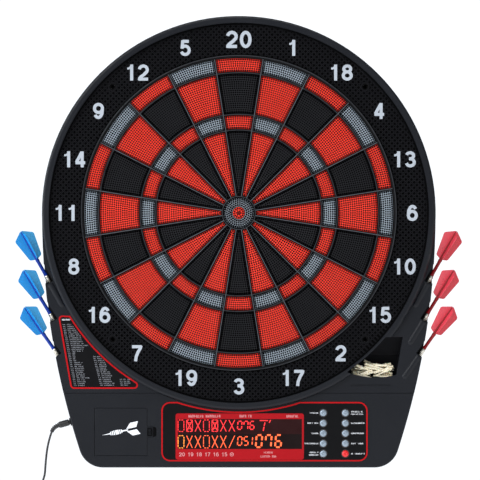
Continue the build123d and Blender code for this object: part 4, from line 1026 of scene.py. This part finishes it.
def panel_outline():
    """Outline of the printed panel, scooped out under the casing's rim."""
    across = math.sqrt(PANEL_SCOOP**2 - PANEL_TOP**2)
    reach = math.asin(across / PANEL_SCOOP)
    scoop = []
    for i in range(41):
        angle = reach * (1 - i / 20)
        scoop.append((PANEL_SCOOP * math.sin(angle), -PANEL_SCOOP * math.cos(angle), 0))
    corners = [(PANEL_LEFT, PANEL_BOTTOM, PANEL_CORNER), (PANEL_RIGHT, PANEL_BOTTOM, PANEL_CORNER),
               (PANEL_RIGHT, PANEL_TOP, PANEL_CORNER)]
    return rounded(corners + scoop + [(PANEL_LEFT, PANEL_TOP, PANEL_CORNER)])


def make_panel_print():
    """Red line round the panel and the marks beside its buttons."""
    level = 30.8
    shape = Shape()
    shape.frame(panel_outline(), 1.8, level - 0.05, level + 0.08)
    shape.make("panel_red_line", "board", [RED_LINE], "panel_print")
    marks = Shape()
    left_words = [(90.2, ), (86.9, ), (92.3, ), (83.3, ), (89.9, 88.9)]
    right_words = [(157.4, 158.2), (159.6, ), (158.8, ), (158.0, ), (159.8, )]
    for row in range(5):
        z = BUTTON_TOP - row * BUTTON_PITCH
        for words, fixed, way in ((left_words, 100.9, -1), (right_words, 142.4, 1)):
            lines = len(words[row])
            for index, end in enumerate(words[row]):
                low, high = (end, fixed) if way < 0 else (fixed, end)
                offset_z = (1.6 - 3.2 * index) if lines == 2 else 0
                add_greek(marks, low, high, z + offset_z, 1.75, level, 10 * row + index + (5 if way > 0 else 0))
    marks.make("panel_marks", "board", [LABEL_BOLD], "panel_print")
    for x in BUTTON_COLUMNS:
        rings = Shape()
        for row in range(5):
            z = BUTTON_TOP - row * BUTTON_PITCH
            rings.frame(circle(x, z, BUTTON_R + 1.05, 32), 0.6, level - 0.05, level + 0.06)
        rings.make(f"button_rings_{'left' if x < 120 else 'right'}", "board", [BUTTON_RING], "panel_print")


def make_buttons():
    """Domed buttons with a small dimple in the middle, on a flange and a stem behind the casing."""
    foot = [(1.7, STEM_END), (1.7, FLANGE_BACK), (5.3, FLANGE_BACK), (5.3, FLANGE_FRONT), (BUTTON_R, FLANGE_FRONT)]
    dome = [(BUTTON_R, 32.0), (BUTTON_R - 0.25, 32.5), (3.3, 33.0), (2.1, 33.35), (1.25, 33.48), (1.0, 33.42),
            (0.7, 33.1), (0.05, 33.0)]
    for index, x in enumerate(BUTTON_COLUMNS):
        for row, name in enumerate(BUTTON_NAMES[index]):
            z = BUTTON_TOP - row * BUTTON_PITCH
            colour = BUTTON_RED if name == "next_player" else SILVER
            shape = Shape()
            shape.revolve(foot + dome, lambda p, x=x, z=z: (x + p[0], p[2], z + p[1]), 32)
            slot_name = "button_red" if name == "next_player" else "button_silver"
            node = f"button_{name}"
            shape.make(f"{node}_cap", node, [colour], slot_name, smooth=True, replaces=[node])


def seven(shape, digit, x, z, wide, high, width, back, slot=0, lean=0.08):
    """Seven-segment digit, leaning to the right."""
    lit = {0: "abcdef", 1: "bc", 5: "afgcd", 6: "afgedc", 7: "fabc"}[digit]
    u, v = wide / 2, high / 2
    ends = {
        "a": ((-u, v), (u, v)), "b": ((u, v), (u, 0)), "c": ((u, 0), (u, -v)), "d": ((-u, -v), (u, -v)),
        "e": ((-u, 0), (-u, -v)), "f": ((-u, v), (-u, 0)), "g": ((-u, 0), (u, 0)),
    }
    for key in lit:
        (x0, z0), (x1, z1) = ends[key]
        length = math.hypot(x1 - x0, z1 - z0)
        trim = 0.62 * width / length
        start = (x0 + (x1 - x0) * trim, z0 + (z1 - z0) * trim)
        end = (x1 + (x0 - x1) * trim, z1 + (z0 - z1) * trim)
        shape.stroke((x + start[0] + lean * start[1], z + start[1]), (x + end[0] + lean * end[1], z + end[1]),
                     width, back, back + 0.05, slot)


def cricket_mark(shape, kind, x, z, wide, high, back, slot=0):
    """Round count of a score column: a box, a cross, both, or one stroke."""
    u, v = wide / 2, high / 2
    front = back + 0.05
    if "box" in kind:
        for way in (-1, 1):
            for low, high_end in ((-0.82, -0.5), (-0.4, 0.4), (0.5, 0.82)):
                shape.stroke((x + way * u, z + v * low), (x + way * u, z + v * high_end), 0.95, back, front, slot)
            for low, high_end in ((-0.75, -0.15), (0.15, 0.75)):
                shape.stroke((x + u * low, z + way * v), (x + u * high_end, z + way * v), 0.95, back, front, slot)
    if "cross" in kind:
        shape.stroke((x - u, z + v), (x + u, z - v), 1.0, back, front - 0.01, slot)
    if "cross" in kind or "slash" in kind:
        shape.stroke((x - u, z - v), (x + u, z + v), 1.0, back, front - 0.02, slot)
    if "fill" in kind:
        for way in (-1, 1):
            shape.stroke((x - u, z + way * v * 0.5), (x + u, z + way * v * 0.5), 0.7, back, front - 0.03, slot)


def make_display():
    """Printed window, its two lit rows of score marks and figures, and its printed headings."""
    level = 31.2
    glass = Shape()
    left, right, top, bottom = WINDOW
    glass.prism([(left + 3, DARK_LOW), (right - 2.5, DARK_LOW), (right - 2.5, DARK_MIDDLE), (left + 3, DARK_MIDDLE)],
                level - 0.02, level + 0.02, 1)
    glass.prism([(left + 3, DARK_MIDDLE), (right - 2.5, DARK_MIDDLE), (right - 2.5, DARK_HIGH), (left + 3, DARK_HIGH)],
                level - 0.02, level + 0.02, 0)
    glass.make("display_rows", "board", [SCREEN, SCREEN_LOW], "display_glass")
    band = Shape()
    band.prism(rounded([(left, DARK_HIGH, 0), (right, DARK_HIGH, 0), (right, top, 3), (left, top, 3)]), level - 0.02,
               level + 0.04)
    band.prism(rounded([(left, bottom, 3), (right, bottom, 3), (right, DARK_LOW, 0), (left, DARK_LOW, 0)]),
               level - 0.02, level + 0.04)
    for low, high in ((left, left + 3), (right - 2.5, right)):
        band.prism([(low, DARK_LOW), (high, DARK_LOW), (high, DARK_HIGH), (low, DARK_HIGH)], level - 0.02, level + 0.04)
    band.make("display_band", "board", [RED_BAND], "panel_print")
    lit = Shape()
    back = level + 0.03
    columns = [COLUMN_FIRST + k * COLUMN_PITCH for k in range(7)]
    first = ["box", "box cross fill", "cross", "box", "box cross fill", "cross", "cross"]
    second = ["box", "cross", "cross", "box", "cross", "cross", "slash"]
    for x, kind in zip(columns, first):
        cricket_mark(lit, kind, x, -270.2, 7.4, 14.6, back, 0)
    for index, (x, kind) in enumerate(zip(columns, second)):
        cricket_mark(lit, kind, x, -290.6, 7.4, 15.6, back, 2 if index == 0 else 1)
    for digit, x in ((0, 1.2), (7, 9.0), (6, 16.8)):
        seven(lit, digit, x, -269.7, 5.2, 10.2, 1.35, back, 0)
    lit.stroke((26.5, -263.6), (37.0, -263.6), 1.2, back, back + 0.05, 0)
    lit.stroke((33.2, -266.0), (32.2, -270.4), 1.3, back, back + 0.05, 0)
    lit.stroke((32.0, -271.4), (31.0, -276.8), 1.3, back, back + 0.05, 0)
    lit.stroke((40.6, -263.0), (38.4, -266.2), 1.3, back, back + 0.05, 0)
    for digit, x in ((0, 1.2), (5, 9.2), (1, 14.6)):
        seven(lit, digit, x, -289.6, 5.2, 10.8, 1.35, back, 1)
    for digit, x in ((0, 25.6), (7, 37.6), (6, 50.2)):
        seven(lit, digit, x, -289.8, 7.2, 15.4, 2.1, back, 3)
    lit.make("display_figures", "board", [RED_GLOW, ORANGE_GLOW, AMBER_GLOW, BRIGHT_ORANGE], "display_glass")
    words = Shape()
    for index, (low, high) in enumerate([(-64.3, -44.8), (-42.3, -23.3), (0.6, 16.3), (60.1, 75.8)]):
        add_greek(words, low, high, -258.1, 3.3, level + 0.04, 40 + index)
    add_greek(words, 31.5, 43.1, -304.2, 2.6, level + 0.04, 50)
    add_greek(words, 27.4, 47.5, -309.2, 2.6, level + 0.04, 51)
    for x, number in zip(columns, (20, 19, 18, 17, 16, 15)):
        add_number(words, number, x + 1.2, -306.6, 5.0, 0.85, level + 0.03, level + 0.16)
    words.frame(circle(columns[6], -306.6, 2.5, 24), 0.8, level + 0.03, level + 0.1)
    words.prism(circle(columns[6], -306.6, 0.8, 12), level + 0.03, level + 0.1)
    words.make("display_headings", "board", [BAND_TEXT], "panel_print")


PANEL_LEFT, PANEL_RIGHT, PANEL_BOTTOM, PANEL_TOP = -98.4, 163.6, -315.5, -240.0
PANEL_CORNER, PANEL_SCOOP = 11.0, 252.3
BUTTON_COLUMNS = (107.2, 135.3)
BUTTON_TOP, BUTTON_PITCH, BUTTON_R = -254.0, 12.93, 4.25
FLANGE_FRONT = FACE - CASING_WALL - 0.4
FLANGE_BACK = FLANGE_FRONT - 1.4
STEM_END = FLANGE_BACK - 2.0
BUTTON_NAMES = [["power", "page_up", "enter", "page_down", "volume"],
                ["game_select", "miss", "bounce_out", "language", "next_player"]]
WINDOW = (-80.3, 82.6, -254.6, -313.4)
DARK_LOW, DARK_MIDDLE, DARK_HIGH = -299.8, -280.9, -261.7
COLUMN_FIRST, COLUMN_PITCH = -73.4, 10.75
BUTTON_RING = plastic("button_ring", (58, 50, 48), 0.4, 0.1, 0.004)
AMBER_GLOW = glow("display_amber", (244, 140, 50), 0.75)
BRIGHT_ORANGE = glow("display_orange_bright", (248, 92, 44), 0.9)


def dress(node, material):
    """Gives a carried-over CAD node its finished material."""
    for slot in bpy.data.objects[node].material_slots:
        slot.material = material


make_panel_print()
make_buttons()
make_display()


# ---- games label -------------------------------------------------------------------------------
def side_x(z):
    """X of the games label's slanting left edge at a height."""
    return LABEL_SIDE[0][0] + (z - LABEL_SIDE[0][1]) * (LABEL_SIDE[1][0] - LABEL_SIDE[0][0]) / (
        LABEL_SIDE[1][1] - LABEL_SIDE[0][1])


def make_games_label():
    """Printed list of games on the left of the casing: red line, black field and rows of marks."""
    level = 30.0
    arc_points = []
    for angle in range(12):
        degrees = 238.6 + angle * (212.6 - 238.6) / 11
        x, z = polar(LABEL_ARC, math.radians(degrees))
        arc_points.append((x, z, 0))
    corners = [(-213.4, -223.4, 5.0), (-118.0, -223.4, 4.6)] + arc_points[::-1] + [(-229.6, -130.0, 4.5)]
    outline = rounded(corners)
    field = Shape()
    field.prism(outline, level, level + 0.12)
    field.make("games_label", "board", [PANEL], "panel_print")
    line = Shape()
    line.frame(outline, 1.9, level + 0.1, level + 0.2)
    line.make("games_label_line", "board", [RED_LINE], "panel_print")
    rows = Shape()
    top = level + 0.12
    add_greek(rows, -224.8, -213.8, -135.6, 2.1, top, 99, 1)
    for row in range(33):
        z = -141.7 - row * 2.42
        start = side_x(z) + 4.4
        chance = random.Random(row)
        if row == 0:
            end = start + 11
        elif z > -177:
            end = start + chance.uniform(19, 25) + (6 if row in (6, 11) else 0)
        elif z > -190:
            end = start + chance.uniform(8, 9.5)
        else:
            end = start + chance.uniform(14, 17) + (7 if row == 28 else 0)
        end = min(end, -math.sqrt(LABEL_ARC**2 - z * z) - 4.5)
        add_greek(rows, start, start + 3.4, z, 1.35, top, row)
        add_greek(rows, start + 5.4, end, z, 1.35, top, row + 200)
    for row in range(16):
        z = -182.5 - row * 2.42
        start = -185.3 + row * 0.6
        chance = random.Random(row + 60)
        end = min(start + 11 + row * 0.35 + chance.uniform(0, 4), -math.sqrt(LABEL_ARC**2 - z * z) - 4)
        add_greek(rows, start, start + 3.4, z, 1.35, top, row + 300)
        add_greek(rows, start + 5.0, max(end, start + 8), z, 1.35, top, row + 400)
    for row in range(4):
        z = -211.4 - row * 2.42
        start = -151.6 + row * 0.5
        add_greek(rows, start, start + 3.4, z, 1.35, top, row + 500)
        add_greek(rows, start + 5.0, start + (15.5, 12.5, 13, 9.5)[row], z, 1.35, top, row + 600)
    rows.make("games_label_rows", "board", [LABEL_TEXT, LABEL_BOLD], "panel_print")


LABEL_ARC = 250.9
LABEL_SIDE = ((-228.6, -140.0), (-215.2, -212.0))
make_games_label()


# ---- battery door ------------------------------------------------------------------------------
def make_door_emblem():
    """Plain dart printed on the battery door."""
    shape = Shape()
    back, front = 30.0, 30.12
    tilt = math.radians(12)

    def place(p):
        x, z = p[0] * math.cos(tilt) - p[2] * math.sin(tilt), p[0] * math.sin(tilt) + p[2] * math.cos(tilt)
        return (EMBLEM[0] + x, p[1], EMBLEM[1] + z)

    shape.prism([(-24, 0), (-13, -0.7), (-13, 0.7)], back, front, place=place)
    for left, right, half in ((-13, -11.6, 2.2), (-10.8, -9.4, 2.6), (-8.6, -7.2, 2.8), (-6.4, -2.0, 2.8),
                              (-1.2, 0.2, 2.6), (1.0, 2.4, 2.2)):
        shape.prism([(left, -half), (right, -half), (right, half), (left, half)], back, front, place=place)
    shape.prism([(2.4, -0.8), (10.0, -0.8), (10.0, 0.8), (2.4, 0.8)], back, front, place=place)
    for way in (1, -1):
        vane = [(8.0, 1.5), (21.0, 1.5), (24.5, 8.2), (14.5, 8.2)]
        if way < 0:
            vane = [(x, -z) for x, z in vane][::-1]
        shape.prism(vane, back, front, place=place)
    shape.make("battery_door_emblem", "battery_door", [WHITE], "panel_print")


def make_latch_grip():
    """Flat dark patch painted as the shade of a finger recess, and grip lines, on the battery door's latch; and beside
    the latch a flat dark patch painted as the shade of a notch.
    """
    shape = Shape()
    middle = (DOOR_TOP + DOOR_BOTTOM) / 2
    recess_shade = rounded([(LATCH_LEFT, middle - 5.4, 1.2), (LATCH_LEFT + 6.4, middle - 5.4, 1.2),
                      (LATCH_LEFT + 6.4, middle + 5.4, 1.2), (LATCH_LEFT, middle + 5.4, 1.2)])
    # painted shade: the recess is a flat patch in the dark slot
    shape.prism(recess_shade, 29.95, 30.05, 1)
    for k in range(5):
        z = middle - 3.4 + k * 1.7
        shape.stroke((LATCH_LEFT + 1.4, z), (LATCH_LEFT + 5.0, z), 0.6, 30.0, 30.2, 0)
    shape.make("battery_door_grip", "battery_door", [CHARCOAL, PAINTED_SHADE], "charcoal_plastic")
    notch_shade = Shape()
    near, far = LATCH_LEFT + 7.5, LATCH_LEFT + 11.8
    outline = rounded([(near, middle - 6.4, 0), (far, middle - 6.4, 3), (far, middle + 6.4, 3), (near, middle + 6.4, 0)])
    # painted shade: the notch is a flat near-black patch
    notch_shade.prism(outline, FACE - 0.1, FACE + 0.06, edge=0.05)
    notch_shade.make("latch_notch_shade", "board", [PAINTED_SHADE], "black_plastic")


EMBLEM = (-150.5, -277.6)
DOOR_TOP, DOOR_BOTTOM, LATCH_LEFT = -248.2, -308.0, -116.4
make_door_emblem()
make_latch_grip()


# ---- small parts -------------------------------------------------------------------------------
def make_hole_membranes():
    """Thin black disc with a raised cross at the back of each wall-screw hole, as painted shade that keeps the open
    hole dark.
    """
    shape = Shape()
    for x, z in ((-1, 1), (1, 1), (1, -1), (-1, -1)):
        across, up = x * WALL_SCREW, z * WALL_SCREW
        profile = [(2.72, 1.2), (2.72, 2.0), (2.2, 2.0), (1.9, 1.8), (0.4, 1.8)]
        shape.revolve(profile, lambda p, across=across, up=up: (across + p[0], p[2], up + p[1]), 24)
        shape.stroke((across - 1.8, up), (across + 1.8, up), 0.3, 1.7, 2.0)
        shape.stroke((across, up - 1.8), (across, up + 1.8), 0.3, 1.7, 1.95)
    shape.make("wall_hole_shade_discs", "board", [BLACK], "black_plastic")


make_hole_membranes()
FINISHES = {
    "rear_cover": BLACK, "upper_housing": CHARCOAL, "console_cover": CHARCOAL, "catch_ring": RING_BLACK_PIT_SHADE,
    "foam_sheet": FOAM, "sensor_membrane": FILM, "backing_plate": FIBRE, "circuit_board": BOARD,
    "display_module": BLACK, "display_window": SCREEN, "panel_overlay": PANEL, "battery_door": CHARCOAL,
    "batteries": WRAP, "speaker": BLACK, "cover_screws": STEEL, "dc_jack": BLACK, "dc_plug": CORD,
    "adapter": ADAPTER,
}
for finished_node, finish in FINISHES.items():
    dress(finished_node, finish)
